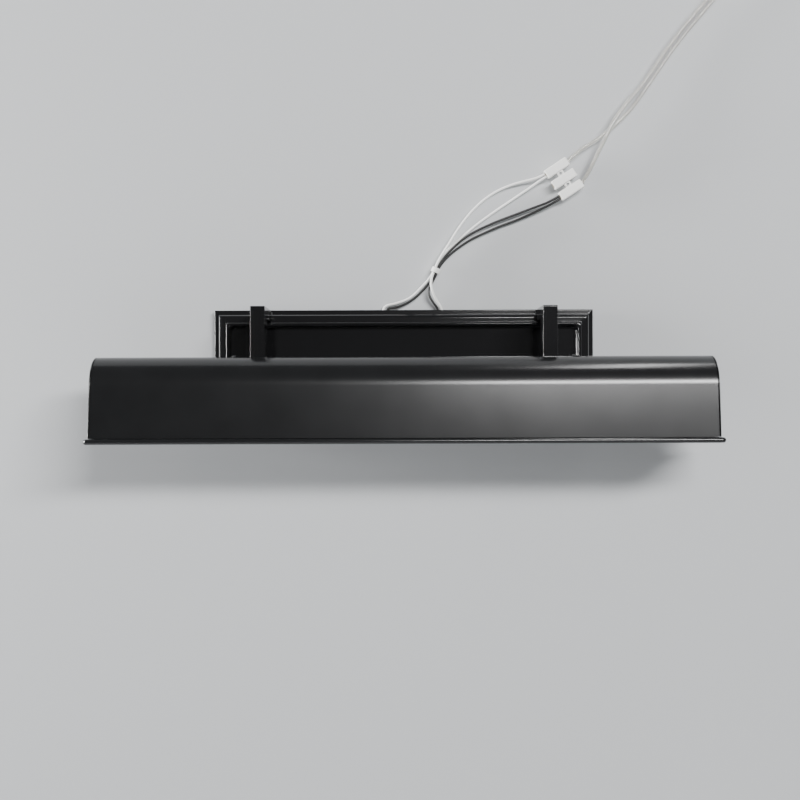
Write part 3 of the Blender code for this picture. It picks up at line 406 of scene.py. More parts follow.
LEAD_ROUTES = {
    "white_left": [
        (-15.4, 2.4, 37.7), (-15.2, 2.4, 39.2), (-14.2, 2.5, 41.0), (-11.4, 2.5, 42.4),
        (-6.5, 2.5, 43.4), (-1.3, 2.5, 45.0), (4.0, 2.5, 47.3), (8.6, 2.5, 50.7),
        (12.5, 2.5, 54.7), (16.4, 2.5, 58.8), (20.2, 2.5, 63.4), (23.5, 2.5, 68.8),
        (29.7, 2.4, 79.7), (39.2, 2.3, 89.1), (50.0, 2.3, 98.5), (60.8, 2.3, 106.9),
        (73.0, 2.4, 115.4), (85.1, 3.0, 123.5), (95.9, 4.4, 130.6), (102.6, 5.9, 135.2),
    ],
    "black_left": [
        (-12.6, 2.4, 37.7), (-12.4, 2.4, 38.6), (-11.2, 2.5, 39.8), (-8.4, 2.5, 40.3),
        (-4.6, 2.5, 40.9), (0.3, 2.5, 42.7), (5.3, 2.5, 45.3), (10.1, 2.5, 48.9),
        (14.2, 2.5, 53.0), (18.2, 2.5, 57.3), (22.0, 2.5, 62.1), (25.4, 2.5, 68.0),
        (30.6, 2.4, 75.6), (39.2, 2.3, 83.6), (50.0, 2.3, 91.1), (59.4, 2.3, 95.8),
        (73.0, 2.3, 101.7), (86.5, 2.6, 106.7), (99.9, 3.9, 112.4), (108.6, 5.3, 116.4),
        (114.0, 6.2, 119.2),
    ],
    "white_right": [
        (28.9, 2.4, 37.7), (28.8, 2.5, 38.9), (27.8, 3.2, 41.2), (25.6, 4.6, 44.6),
        (23.2, 5.8, 48.8), (21.8, 6.8, 52.6), (20.9, 6.9, 56.2), (20.8, 6.8, 59.6),
        (21.4, 5.4, 63.2), (22.5, 4.6, 66.2), (23.5, 4.6, 68.8), (25.4, 4.6, 73.4),
        (29.0, 4.5, 79.9), (34.5, 3.6, 88.6), (39.8, 2.6, 97.2), (45.9, 2.4, 105.9),
        (52.7, 2.4, 114.0), (61.5, 2.4, 122.1), (70.9, 2.4, 128.3), (81.1, 3.1, 132.7),
        (91.9, 4.7, 135.6), (100.0, 6.0, 137.5),
    ],
    "black_right": [
        (26.1, 2.4, 37.7), (26.0, 2.5, 38.7), (24.8, 3.0, 41.0), (22.2, 4.0, 44.4),
        (19.8, 4.6, 48.6), (19.0, 4.6, 52.8), (20.2, 4.6, 56.6), (22.4, 4.6, 60.6),
        (24.3, 4.6, 64.6), (25.4, 4.6, 68.0), (28.6, 4.6, 74.6), (35.8, 4.6, 83.4),
        (45.9, 4.5, 92.4), (56.0, 4.4, 98.5), (69.6, 4.4, 104.6), (83.1, 4.4, 109.7),
        (96.6, 4.8, 114.7), (107.4, 5.7, 118.6), (112.6, 6.2, 121.0),
    ],
}
CORE_ROUTES = {
    "upper": [
        (131.5, 6.2, 156.6), (136.3, 5.6, 160.4), (148.5, 4.2, 168.2), (158.2, 3.9, 176.2),
        (166.8, 3.9, 184.0), (174.6, 3.9, 192.6), (185.1, 3.9, 207.4), (194.9, 3.9, 221.6),
        (203.5, 3.9, 233.8), (213.7, 3.9, 247.0), (223.8, 3.9, 259.2), (235.0, 3.9, 272.2),
        (242.2, 3.9, 281.0),
    ],
    "lower": [
        (139.4, 6.5, 141.2), (142.6, 7.0, 147.2), (146.8, 7.4, 156.0), (151.6, 7.8, 165.6),
        (156.2, 7.8, 175.0), (162.0, 7.4, 184.6), (170.4, 5.4, 195.8), (182.1, 3.9, 209.5),
        (191.9, 3.9, 223.7), (200.5, 3.9, 236.1), (210.8, 3.9, 249.4), (221.0, 3.9, 261.7),
        (232.2, 3.9, 274.7), (239.3, 3.9, 283.4),
    ],
}


def block_point(along, across, depth):
    """A point on the terminal block from its own directions, in millimetres."""
    v = Vector((sin(BLOCK_ANGLE), 0, -cos(BLOCK_ANGLE)))
    return BLOCK_MIDDLE + along * BLOCK_ALONG + across * v + Vector((0, -depth, 0))


def smooth_route(points, spacing=1.4):
    """Even points in metres along a smooth curve through route points in millimetres."""
    route = [Vector(point) * MM for point in points]
    padded = [2 * route[0] - route[1]] + route + [2 * route[-1] - route[-2]]
    fine = []
    for index in range(1, len(padded) - 2):
        p0, p1, p2, p3 = padded[index - 1:index + 3]
        for step in range(16):
            t = step / 16
            fine.append(0.5 * (2 * p1 + (p2 - p0) * t + (2 * p0 - 5 * p1 + 4 * p2 - p3) * t * t
                               + (3 * p1 - p0 - 3 * p2 + p3) * t ** 3))
    fine.append(route[-1])
    kept = [fine[0]]
    for point in fine[1:-1]:
        if (point - kept[-1]).length > spacing * MM and (point - fine[-1]).length > spacing * MM:
            kept.append(point)
    return kept + [fine[-1]]


def tube(name, points, radius, slot, body, nodes):
    """A round wire as a curve."""
    curve = bpy.data.curves.new(name, "CURVE")
    curve.dimensions = "3D"
    curve.bevel_depth = radius * MM
    curve.bevel_resolution = 5
    curve.use_fill_caps = True
    spline = curve.splines.new("POLY")
    spline.points.add(len(points) - 1)
    for point, place in zip(spline.points, points):
        point.co = (*place, 1.0)
    return settle(linked(name, curve), body, slot, nodes)


def wall_points(route):
    return [(x, -depth, z) for x, depth, z in route]


def terminal_strip():
    """Three plain barrels joined by a web with two fixing holes, screw towers at the wall."""
    v = Vector((-sin(BLOCK_ANGLE), 0, cos(BLOCK_ANGLE)))
    turn = Matrix((BLOCK_ALONG, v, Vector(OUTWARD))).transposed().to_4x4()

    def at(across):
        return Matrix.Translation(block_point(0, across, 0) * MM) @ turn

    barrels = []
    for pole in (-1, 0, 1):
        barrel = box((-BLOCK_HALF, -3.5, 3.05), (BLOCK_HALF, 3.5, 9.75), "barrel")
        bevelled(barrel, 0.9, 4)
        barrel.data.transform(at(pole * BLOCK_PITCH))
        barrels.append(barrel)
    web = box((-2.6, -BLOCK_PITCH, 6.6), (2.6, BLOCK_PITCH, 8.6))
    bevelled(web, 0.3)
    web.data.transform(at(0))
    joined = barrels[1:] + [web]
    holes = []
    for pole in (-1, 0, 1):
        across = pole * BLOCK_PITCH
        start = block_point(-15, across, TUBE_DEPTH)
        holes.append(drill(2.55, 30, start, BLOCK_ALONG))
        for end in (-1, 1):
            foot = block_point(end * TOWER_ALONG, across, 0.5)
            joined.append(lathe("tower", [(0, 0), (2.7, 0), (2.9, 0.2), (2.9, 3.8), (0, 3.8)], foot,
                                OUTWARD, 32))
            foot = block_point(end * TOWER_ALONG, across, -1)
            holes.append(drill(1.9, 7.4, foot, OUTWARD))
    for gap in (-0.5, 0.5):
        foot = block_point(0, gap * BLOCK_PITCH, 5)
        holes.append(drill(1.15, 7, foot, OUTWARD, 24))
    block = cut(barrels[0], joined, "UNION")
    cut(block, holes)
    block.name = "terminal_strip"
    settle(block, "fixture", "white_plastic", ["terminal_block"])
    inserts = []
    for pole, label in ((-1, "upper"), (0, "middle"), (1, "lower")):
        start = block_point(-8.2, pole * BLOCK_PITCH, TUBE_DEPTH)
        ring = [(2.2, 16.4), (2.2, 0.0), (1.75, 0.0), (1.75, 16.4)]
        insert = lathe("strip_insert_" + label, softened(ring, 0.15, True), start, BLOCK_ALONG, 32,
                       True)
        screws = []
        for end in (-1, 1):
            foot = block_point(end * TOWER_ALONG, pole * BLOCK_PITCH, 1.8)
            screw = lathe("screw", [(0, 0), (1.35, 0), (1.5, 0.15), (1.5, 2.7), (0, 2.7)], foot,
                          OUTWARD, 24)
            notch = box((-1.6, -0.25, -0.2), (1.6, 0.25, 0.6))
            notch.data.transform(Matrix.Translation(foot * MM) @ turn)
            screws.append(cut(screw, [notch]))
        cut(insert, screws, "UNION")
        inserts.append(settle(insert, "fixture", "brass", ["terminal_insert_" + label]))
    return block, inserts


def lead_tie():
    ring = softened([(3.5, 1.9), (3.5, -1.9), (2.75, -1.9), (2.75, 1.9)], 0.35, True, 4)
    tie = lathe("cable_tie", ring, (24.5, -3.55, 68.4), (0.42, 0, 0.9), 48, True)
    return settle(tie, "fixture", "white_plastic", ["lead_tie"])


def outlet():
    """Round wall outlet that covers the far ends of the supply cores."""
    ends = [Vector(wall_points(CORE_ROUTES[name])[-1]) for name in ("upper", "lower")]
    at = (ends[0] + ends[1]) / 2 + Vector((0.67, 0, 0.74)) * 11.2
    at.y = 0
    profile = [(0, 8.4), (7.5, 8.4), (9.6, 7.6), (10.4, 5.6), (10.4, 0.4), (0, 0.4)]
    cover = lathe("outlet_dome", softened(profile, 0.8), at, OUTWARD, 64)
    cut(cover, [drill(1.9, 20, at, OUTWARD)])
    settle(cover, "fixture", "white_plastic", ["outlet_cover"])
    profile = [(0, 11.0), (1.8, 10.6), (3.2, 9.0), (3.3, 8.7), (1.5, 8.7), (1.5, 1.0), (0, 1.0)]
    screw = lathe("outlet_fixing", softened(profile, 0.3), at, OUTWARD, 32)
    cut(screw, [box((at.x - 2.4, -12, at.z - 0.35), (at.x + 2.4, -10.2, at.z + 0.35))])
    settle(screw, "fixture", "zinc_steel", ["outlet_screw"])
    return [cover, screw]


def strand(name, points, slot, body):
    """Twisted bare wires inside a clear core, as one mesh of helical tubes."""
    shape = bmesh.new()
    walked = [0.0]
    for a, b in zip(points, points[1:]):
        walked.append(walked[-1] + (b - a).length)
    sides = 6
    for wire in range(6):
        last = None
        for index, point in enumerate(points):
            ahead = points[min(index + 1, len(points) - 1)] - points[max(index - 1, 0)]
            ahead.normalize()
            out = ahead.cross(Vector((0, 1, 0))).normalized()
            up = ahead.cross(out)
            angle = 2 * pi * (wire / 6 + walked[index] / (9 * MM))
            middle = point + (out * cos(angle) + up * sin(angle)) * 0.62 * MM
            ring = []
            for side in range(sides):
                turn = 2 * pi * side / sides
                ring.append(shape.verts.new(middle + (out * cos(turn) + up * sin(turn)) * 0.34 * MM))
            if last:
                for side in range(sides):
                    after = (side + 1) % sides
                    shape.faces.new((last[side], last[after], ring[after], ring[side]))
            else:
                shape.faces.new(list(reversed(ring)))
            last = ring
        shape.faces.new(last)
    return settle(from_bmesh(name, shape, 60), body, slot, [], STRAND)


def make_cords():
    """The four free leads and the two supply cores, with what is on them."""
    block, inserts = terminal_strip()
    tie = lead_tie()
    fittings = outlet()
    for name, route in LEAD_ROUTES.items():
        colour, pair = name.split("_")
        pole = -1 if colour == "white" else 1
        lane = 1.05 if pair == "left" else -1.05
        end = block_point(-BLOCK_HALF - GAP, pole * BLOCK_PITCH + lane, TUBE_DEPTH)
        points = smooth_route(wall_points(route) + [end])
        lead = tube("free_lead_" + name, points, LEAD_RADIUS, colour + "_lead", "fixture",
                    ["lead_" + name])
    for name, route in CORE_ROUTES.items():
        pole = -1 if name == "upper" else 1
        start = block_point(BLOCK_HALF + GAP, pole * BLOCK_PITCH, TUBE_DEPTH)
        points = smooth_route([tuple(start)] + wall_points(route))
        wires = strand("core_strand_" + name, points, "clear_pvc", "fixture")
        core = tube("clear_core_" + name, points, CORE_RADIUS, "clear_pvc", "fixture",
                    ["supply_core_" + name])


make_cords()


# ---------------------------------------------------------------- wall plate and arms

MOULDING = [(13.9, 9.5, 3.9), (13.2, 10.0, 3.8), (12.8, 15.2, 3.5), (12.3, 16.3, 3.2),
            (11.3, 16.8, 2.8), (10.3, 16.3, 2.4), (9.8, 15.2, 2.1), (9.5, 12.0, 1.9),
            (6.3, 11.8, 1.2), (4.6, 11.0, 1.0), (3.7, 9.4, 0.9), (3.4, 5.6, 0.8),
            (0.5, 5.4, 0.5), (0.0, 4.9, 0.4), (0.0, 0.5, 0.4)]
PAN_INSIDE = [(1.3, 0.5, 0.4), (1.3, 4.2, 0.4), (5.0, 4.4, 0.8), (5.2, 10.2, 1.0),
              (11.0, 10.4, 2.4), (11.6, 8.2, 2.8)]


def wall_plate():
    """Cast pan: a stepped picture-frame moulding round a recessed panel, hollow behind."""
    rings = []
    for inset, depth, radius in softened(MOULDING, 0.28) + PAN_INSIDE:
        rings.append(((PLATE_HALF_X - inset) * MM, (PLATE_HALF_Z - inset) * MM, radius * MM,
                      depth * MM))
    plate = ring_stack("wall_plate", rings, lambda a, b, h: Vector((a, -h, b)), 7, False)
    cutters = []
    for x in EXITS_X:
        cutters.append(box((x - EXIT_WIDTH / 2, -EXIT_DEPTH, 30), (x + EXIT_WIDTH / 2, 1, 45)))
    half = ARM_WIDTH / 2 + GAP
    for _, side in SIDES:
        x = side * ARM_X
        cutters.append(box((x - half, -20, ARM_UNDER - GAP), (x + half, -ARM_BACK + GAP, 45)))
        cutters.append(box((x - half, -6, ARM_UNDER + 1), (x + half, -2, 36.9)))
        cutters.append(drill(2.3, 12, (side * STUD_X, 0, STUD_Z), OUTWARD))
        cutters.append(drill(1.95, 2.1, (x, -7, TAB_SCREW_Z), OUTWARD, 24))
    cut(plate, cutters)
    return settle(plate, "fixture", "gloss_black", ["backplate"])


def hollow_arm(name, side):
    """Hollow cast arm: a top bar out of the plate, then a leg that drops into the shade."""
    radius = PIVOT[0] - LEG_BACK
    points = [(ARM_BACK, ARM_TOP)] + arc((ARM_FRONT - 1.0, ARM_TOP - 1.0), 1.0, 90, 0, 5)
    points += arc(PIVOT, radius, 0, -180, 24)
    points += arc((LEG_BACK, GUSSET_LOW), LEG_BACK - GUSSET_BACK, 270, 180, 12)
    points += [(GUSSET_BACK, ARM_UNDER), (TAB_FRONT, ARM_UNDER), (TAB_FRONT, TAB_LOW),
               (TAB_BACK, TAB_LOW), (TAB_BACK, ARM_UNDER + 0.4), (ARM_BACK, ARM_UNDER + 0.4)]
    x = side * ARM_X
    body = prism("hollow_arm_" + name, points, ARM_WIDTH, side_matrix(x))
    bevelled(body, 0.6, 3)
    half = ARM_WIDTH / 2 - ARM_WALL
    top = ARM_TOP - ARM_WALL
    front = ARM_FRONT - ARM_WALL
    bar = box((x - half, -front, ARM_UNDER + ARM_WALL), (x + half, 0, top))
    leg = box((x - half, -front, PIVOT[1]), (x + half, -LEG_BACK - ARM_WALL, top - 1))
    cut(bar, [leg], "UNION")
    bore = drill(BORE_RADIUS, 20, (x - 10, -PIVOT[0], PIVOT[1]), (1, 0, 0), 48)
    tab_hole = drill(2.0, 6, (x, -4, TAB_SCREW_Z), OUTWARD, 24)
    cut(body, [bar, bore, tab_hole])
    return settle(body, "fixture", "gloss_black", ["arm_" + name])


# ---------------------------------------------------------------- shade

def shade_section(radius, bottom, steps=72):
    """The shade's open section: front skirt up, over the top, rear skirt down."""
    roof = arc(SHADE_CENTRE, radius, SHADE_FLARE, 180 - SHADE_FLARE, steps)
    reach = (roof[0][1] - bottom) * tan(radians(SHADE_FLARE))
    return [(roof[0][0] + reach, bottom)] + roof + [(roof[-1][0] - reach, bottom)]


def trough():
    """Rolled steel trough, open below, with a slot in its rear roof for each arm."""
    outer = shade_section(SHADE_RADIUS, SHADE_BOTTOM)
    inner = shade_section(SHADE_RADIUS - SHADE_WALL, SHADE_BOTTOM)
    shell = prism("shade_trough", outer + list(reversed(inner)), 2 * SHADE_HALF, side_matrix(0))
    half = ARM_WIDTH / 2 + 0.6
    cutters = []
    for _, side in SIDES:
        x = side * ARM_X
        cutters.append(box((x - half, -SLOT_DEPTHS[1], -13), (x + half, -SLOT_DEPTHS[0], 6)))
        cutters.append(drill(1.6, 10, (side * CARRIER_SCREW_X, -SHADE_CENTRE[0], -5), UPWARD))
    cut(shell, cutters)
    return settle(shell, "shade", "satin_black", ["shade_shell"])


def shade_end(name, side):
    """Flat plate that closes one end of the shade, with softened edges."""
    section = shade_section(SHADE_RADIUS, SHADE_BOTTOM)
    plate = prism("shade_end_" + name, section, CAP_THICK,
                  side_matrix(side * (SHADE_HALF + GAP + CAP_THICK / 2)))
    bevelled(plate, 0.5, 3)
    return settle(plate, "shade", "satin_black", ["end_cap_" + name])


def rolled_rim():
    """Rolled rim round the shade's opening, with a round outer edge."""
    section = shade_section(SHADE_RADIUS, SHADE_BOTTOM)
    half_x = SHADE_HALF + GAP + CAP_THICK + RIM_PROUD
    half_y = (section[0][0] - section[-1][0]) / 2 + RIM_PROUD
    bead = RIM_THICK / 2
    profile = [(7.0, RIM_TOP - RIM_THICK + 0.2), (6.8, RIM_TOP - RIM_THICK)]
    for step in range(13):
        angle = radians(-90 + 15 * step)
        profile.append((bead - bead * cos(angle), RIM_TOP - bead + bead * sin(angle)))
    profile += [(6.8, RIM_TOP), (7.0, RIM_TOP - 0.2)]
    rings = []
    for inset, height in profile:
        rings.append(((half_x - inset) * MM, (half_y - inset) * MM, max(0.6, 3.2 - inset) * MM,
                      height * MM))

    def plane(a, b, height):
        return Vector((a, b - SHADE_CENTRE[0] * MM, height))

    rim = ring_stack("rolled_rim", rings, plane, 8, True)
    return settle(rim, "shade", "satin_black", ["rim_frame"])


# ---------------------------------------------------------------- joint, lamps and small parts

def saddle(name, side):
    """Steel saddle under the shade's roof: two ears on the pin, joined by a web in front."""
    x = side * ARM_X
    outer = EAR_X + EAR_THICK
    back = 43.4
    web = 58.4
    front = web + EAR_THICK
    plan = [(-outer, back), (-outer, front), (outer, front), (outer, back), (EAR_X, back),
            (EAR_X, web), (-EAR_X, web), (-EAR_X, back)]
    matrix = Matrix(((1, 0, 0, x * MM), (0, -1, 0, 0), (0, 0, -1, -10 * MM), (0, 0, 0, 1)))
    body = prism("joint_saddle_" + name, plan, 30, matrix)
    inside = SHADE_RADIUS - SHADE_WALL - GAP
    cut_off = 60.5
    ahead = cut_off - SHADE_CENTRE[0]
    behind = back - 0.2 - SHADE_CENTRE[0]
    start = degrees(atan2(sqrt(inside ** 2 - ahead ** 2), ahead))
    end = degrees(atan2(sqrt(inside ** 2 - behind ** 2), behind))
    view = arc(SHADE_CENTRE, inside, start, end, 20) + arc(PIVOT, EAR_RADIUS, 180, 290, 20)
    keep = prism("keep", view + [(cut_off, -13)], 2 * outer + 1, side_matrix(x))
    cut(body, [keep], "INTERSECT")
    cut(body, [drill(BORE_RADIUS, 24, (x - 12, -PIVOT[0], PIVOT[1]), (1, 0, 0), 48)])
    return settle(body, "shade", "zinc_steel", ["hinge_saddle_" + name])


def carrier(name, side):
    """Bent strip under the roof, whose turned-down end carries the lampholder."""
    low = CARRIER_TOP - CARRIER_THICK
    foot = LAMP_AXIS[1] - 9
    inner = CARRIER_END - CARRIER_THICK
    points = [(CARRIER_START, CARRIER_TOP)]
    points += arc((CARRIER_END - 2, CARRIER_TOP - 2), 2, 90, 0, 6)
    points += [(CARRIER_END, foot), (inner, foot)]
    points += arc((inner - 0.8, low - 0.8), 0.8, 0, 90, 4) + [(CARRIER_START, low)]
    matrix = Matrix(((side, 0, 0, 0), (0, 0, -side, -LAMP_AXIS[0] * MM), (0, 1, 0, 0), (0, 0, 0, 1)))
    strip = prism("lamp_strip_" + name, points, 2 * CARRIER_HALF_Y, matrix)
    bevelled(strip, 0.25)
    holder_at = (side * (CARRIER_END - 5), -LAMP_AXIS[0], LAMP_AXIS[1])
    screw_at = (side * CARRIER_SCREW_X, -SHADE_CENTRE[0], -8)
    cut(strip, [drill(5.3, 10, holder_at, (side, 0, 0), 48), drill(1.7, 10, screw_at, UPWARD)])
    return settle(strip, "shade", "zinc_steel", ["lamp_carrier_" + name])


def lathe_piece(name, node, slot, body, profile, origin, direction, steps=48, closed=False,
                soft=0.25):
    """A turned part with eased corners that stands for its CAD node."""
    made = lathe(name, softened(profile, soft, closed), origin, direction, steps, closed)
    return settle(made, body, slot, [node])


def small_parts(name, side):
    """Every turned part of one side."""
    x = side * ARM_X
    stud = side * STUD_X
    lathe_piece("bracket_screw_" + name, "wall_screw_" + name, "zinc_steel", "fixture",
                [(0, 2.4), (2.2, 2.2), (3.9, 1.2), (4.2, 0.0), (1.9, 0.0), (1.9, -20.0), (0, -24.0)],
                (side * WALL_SCREW_X, -1.8, 0), OUTWARD)
    lathe_piece("plate_stud_" + name, "mounting_stud_" + name, "zinc_steel", "fixture",
                [(0, 12.6), (1.6, 12.6), (1.9, 12.2), (1.9, 1.6), (3.6, 1.6), (3.6, 0.0), (0, 0.0)],
                (stud, -1.8, STUD_Z), OUTWARD)
    lathe_piece("domed_nut_" + name, "cap_nut_" + name, "gloss_black", "fixture",
                [(0, 6.6), (1.8, 6.2), (3.1, 5.0), (3.7, 3.4), (3.7, 0.9), (4.6, 0.8), (4.6, 0.0),
                 (2.2, 0.0), (2.2, 5.1), (0, 5.1)], (stud, -PANEL_FRONT - 0.6, STUD_Z), OUTWARD)
    lathe_piece("tab_screw_" + name, "arm_screw_" + name, "zinc_steel", "fixture",
                [(0, 3.9), (1.6, 3.9), (1.6, 0.0), (3.4, 0.0), (3.2, -1.6), (2.2, -2.2), (0, -2.3)],
                (x, -TAB_BACK + 1.2, TAB_SCREW_Z), OUTWARD)
    pin = lathe("hollow_pin_" + name,
                softened([(PIN_RADIUS, PIN_HALF), (PIN_RADIUS, -PIN_HALF), (PIN_BORE, -PIN_HALF),
                          (PIN_BORE, PIN_HALF)], 0.3, True),
                (x, -PIVOT[0], PIVOT[1]), (1, 0, 0), 48, True)
    cut(pin, [box((x - 3.6, -PIVOT[0] - 2.5, PIVOT[1] + 0.2), (x + 3.6, -PIVOT[0] + 2.5, PIVOT[1] + 6))])
    settle(pin, "fixture", "brass", ["pivot_pin_" + name])
    for end, direction in (("inner", -side), ("outer", side)):
        seat = x + direction * (EAR_X + EAR_THICK + GAP)
        ring = [(NUT_RADIUS - 0.5, NUT_THICK), (NUT_RADIUS, NUT_THICK - 0.5), (NUT_RADIUS, 0.0),
                (BORE_RADIUS, 0.0), (BORE_RADIUS, NUT_THICK)]
        lathe_piece("ring_nut_%s_%s" % (name, end), "pivot_nut_%s_%s" % (name, end), "brass",
                    "fixture", ring, (seat, -PIVOT[0], PIVOT[1]), (direction, 0, 0), closed=True)
    seat = SHADE_CENTRE[1] + SHADE_RADIUS + 0.25
    roof = (side * CARRIER_SCREW_X, -SHADE_CENTRE[0])
    lathe_piece("roof_screw_" + name, "carrier_screw_" + name, "satin_black", "shade",
                [(0, 0.9), (1.2, 0.75), (2.2, 0.0), (1.3, 0.0), (1.3, -7.4), (0, -7.4)],
                (*roof, seat), UPWARD, 32)
    lathe_piece("strip_nut_" + name, "carrier_nut_" + name, "zinc_steel", "shade",
                [(3.0, 2.2), (3.0, 0.0), (1.6, 0.0), (1.6, 2.2)],
                (*roof, CARRIER_TOP - CARRIER_THICK - 2.5), UPWARD, 6, True, 0.1)
    lamp_parts(name, side)


def lamp_parts(name, side):
    """Holder, its nut, and the tubular opal lamp with its screw cap."""
    along = (side, 0, 0)
    axis = (-LAMP_AXIS[0], LAMP_AXIS[1])
    back = CARRIER_END - CARRIER_THICK - GAP
    mouth = back - HOLDER_LENGTH
    length = HOLDER_LENGTH
    lathe_piece("lamp_socket_" + name, "lampholder_" + name, "white_plastic", "shade",
                [(2.6, 6.2), (4.9, 6.2), (4.9, 0.0), (10.5, 0.0), (11.2, -0.7), (11.2, -11.0),
                 (13.2, -13.0), (13.2, -length + 1.0), (12.4, -length), (7.6, -length),
                 (7.6, -8.0), (2.6, -8.0)], (side * back, *axis), along, 64, True, 0.5)
    lathe_piece("socket_nut_" + name, "holder_nut_" + name, "zinc_steel", "shade",
                [(8.0, 3.0), (8.0, 0.0), (5.2, 0.0), (5.2, 3.0)],
                (side * (CARRIER_END + GAP), *axis), along, 48, True)
    threads = []
    for turn in range(3):
        top = 15.0 - 4.0 * turn
        threads += [(6.2, top), (6.9, top - 2.0)]
    profile = [(0, 26.0), (2.4, 26.0), (3.6, 23.5), (5.0, 21.5)] + threads
    profile += [(6.2, 3.0), (6.2, -1.0), (0, -1.0)]
    lathe_piece("bulb_cap_" + name, "lamp_cap_" + name, "zinc_steel", "shade", profile,
                (side * mouth, *axis), along, 48, False, 0.6)
    end = -BULB_LENGTH
    dome = 8.0
    glass = [(0, -1.3), (6.4, -1.3), (9.0, -3.0), (BULB_RADIUS, -7.0)]
    for step in range(13):
        angle = radians(7.5 * step)
        glass.append((BULB_RADIUS - dome + dome * cos(angle), end + dome - dome * sin(angle)))
    glass.append((0, end))
    made = lathe("opal_bulb_" + name, glass, (side * mouth, *axis), along, 64)
    settle(made, "shade", "opal_glass", ["lamp_glass_" + name])


def inner_wires(name, side):
    """A white and a black lead in each arm, and their ends from the pin to the lampholder."""
    exit_x = EXITS_X[0] if side < 0 else EXITS_X[1]
    foot, level_at = PIVOT
    for colour, lane in (("white", 1), ("black", -1)):
        shift = lane * 1.05
        deep = foot + shift
        pin_end = ARM_X + PIN_HALF
        level = 30.6 + shift
        end_x = side * exit_x + lane * 1.4
        route = [(pin_end, deep, level_at), (ARM_X + 8, deep, level_at),
                 (ARM_X + 3.4, deep, level_at + 0.2), (ARM_X + 0.6, deep, level_at + 3.6),
                 (ARM_X, deep, level_at + 10), (ARM_X, deep, 10), (ARM_X, deep, 26),
                 (ARM_X, 48.8 + shift, 32.3 + 0.6 * shift),
                 (ARM_X, 46.5 + 0.8 * shift, 34.1 + 0.9 * shift), (ARM_X, 38, 33.9 + shift),
                 (ARM_X, 14, 33.9 + shift), (ARM_X - 0.8, 6.8, 33.6 + shift),
                 (ARM_X - 3.6, 3.4, 33.0 + shift), (ARM_X - 10, 2.4, 32.0 + shift),
                 (ARM_X - 30, 2.4, level), (end_x + 9, 2.4, level),
                 (end_x + 2.6, 2.4, level + 0.9), (end_x + 0.4, 2.4, level + 3.2),
                 (end_x, 2.4, 36.4), (end_x, 2.4, 37.4)]
        tail = [(pin_end + GAP, deep, level_at), (pin_end + 6, deep, level_at),
                (150, 48.5 + shift, -10), (192, 47.5 + shift, -11), (203, 48.5 + shift, -14),
                (210, 52 + shift, -21), (211.5, 56 + shift, -28), (208.5, 59 + shift, -33),
                (CARRIER_END + 5.2, 60 + shift, -34)]
        for piece, node, body, path in (("arm_wire", "arm_lead", "fixture", route),
                                        ("socket_wire", "holder_lead", "shade", tail)):
            points = smooth_route([(side * px, -depth, z) for px, depth, z in path])
            tube("%s_%s_%s" % (piece, colour, name), points, LEAD_RADIUS, colour + "_lead", body,
                 ["%s_%s_%s" % (node, colour, name)])


def bracket():
    """Flat steel bar on the wall, with eased edges."""
    bar = box((-124, -1.5, -9), (124, 0, 9), "wall_bar")
    bevelled(bar, 0.3)
    holes = []
    for _, side in SIDES:
        holes.append(drill(2.6, 10, (side * WALL_SCREW_X, 5, 0), OUTWARD))
        holes.append(drill(1.4, 10, (side * STUD_X, 5, STUD_Z), OUTWARD))
    cut(bar, holes)
    return settle(bar, "fixture", "zinc_steel", ["wall_bracket"])


wall_plate()
bracket()
trough()
rolled_rim()
for side_name, side_sign in SIDES:
    hollow_arm(side_name, side_sign)
    shade_end(side_name, side_sign)
    saddle(side_name, side_sign)
    carrier(side_name, side_sign)
    small_parts(side_name, side_sign)
    inner_wires(side_name, side_sign)


# ---------------------------------------------------------------- studio

BACKDROP_Y = 0.0012
FLOOR_Z = -0.9


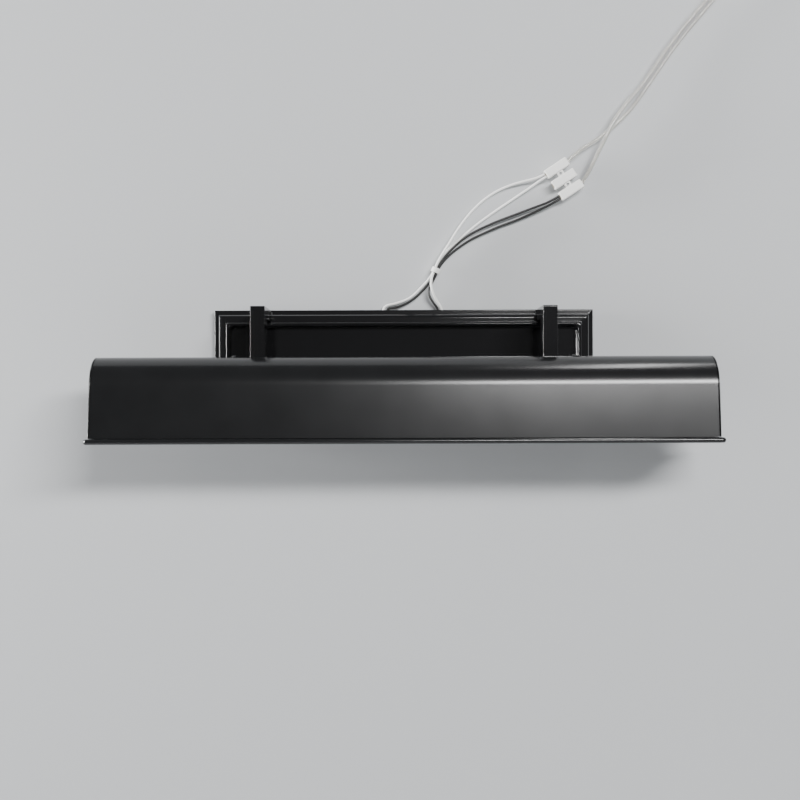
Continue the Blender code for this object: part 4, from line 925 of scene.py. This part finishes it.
def area_light(name, location, target, size, power):
    """A soft rectangular light that faces a point."""
    data = bpy.data.lights.new(name, "AREA")
    data.shape = "RECTANGLE"
    data.size, data.size_y = size
    data.energy = power
    lamp = linked(name, data)
    lamp.location = location
    lamp.rotation_euler = (Vector(target) - Vector(location)).to_track_quat("-Z", "Y").to_euler()
    return lamp


def studio():
    """Pale wall seen only from its front, pale floor, soft lights and a dim pale surround."""
    pale = bpy.data.materials.new("pale_wall")
    pale.use_nodes = True
    tree = pale.node_tree
    shader = tree.nodes["Principled BSDF"]
    shader.inputs["Base Color"].default_value = (0.50, 0.51, 0.52, 1)
    shader.inputs["Roughness"].default_value = 0.9
    shader.inputs["Specular IOR Level"].default_value = 0.1
    clear = tree.nodes.new("ShaderNodeBsdfTransparent")
    mixed = tree.nodes.new("ShaderNodeMixShader")
    seen = tree.nodes.new("ShaderNodeNewGeometry")
    tree.links.new(seen.outputs["Backfacing"], mixed.inputs["Fac"])
    tree.links.new(shader.outputs["BSDF"], mixed.inputs[1])
    tree.links.new(clear.outputs["BSDF"], mixed.inputs[2])
    tree.links.new(mixed.outputs["Shader"], tree.nodes["Material Output"].inputs["Surface"])
    for name, corners in (
            ("backdrop", [(-1.2, BACKDROP_Y, FLOOR_Z), (1.2, BACKDROP_Y, FLOOR_Z),
                          (1.2, BACKDROP_Y, 1.1), (-1.2, BACKDROP_Y, 1.1)]),
            ("floor", [(-4, -4, FLOOR_Z), (4, -4, FLOOR_Z), (4, 4, FLOOR_Z), (-4, 4, FLOOR_Z)])):
        mesh = bpy.data.meshes.new(name)
        mesh.from_pydata(corners, [], [(0, 1, 2, 3)])
        plane = linked(name, mesh)
        plane.data.materials.append(pale)
    world = bpy.data.worlds.new("surround")
    world.use_nodes = True
    world.node_tree.nodes["Background"].inputs["Color"].default_value = (0.60, 0.61, 0.62, 1)
    world.node_tree.nodes["Background"].inputs["Strength"].default_value = 0.24
    bpy.context.scene.world = world
    middle = (0, -0.05, 0)
    area_light("key_right", (0.82, -1.98, 0.79), middle, (1.40, 0.27), 74)
    area_light("edge_left", (-1.30, -0.12, 0.14), middle, (0.14, 0.85), 58)
    area_light("top_right", (0.42, -0.10, 1.30), (0.12, -0.02, 0), (0.62, 0.12), 5)


studio()
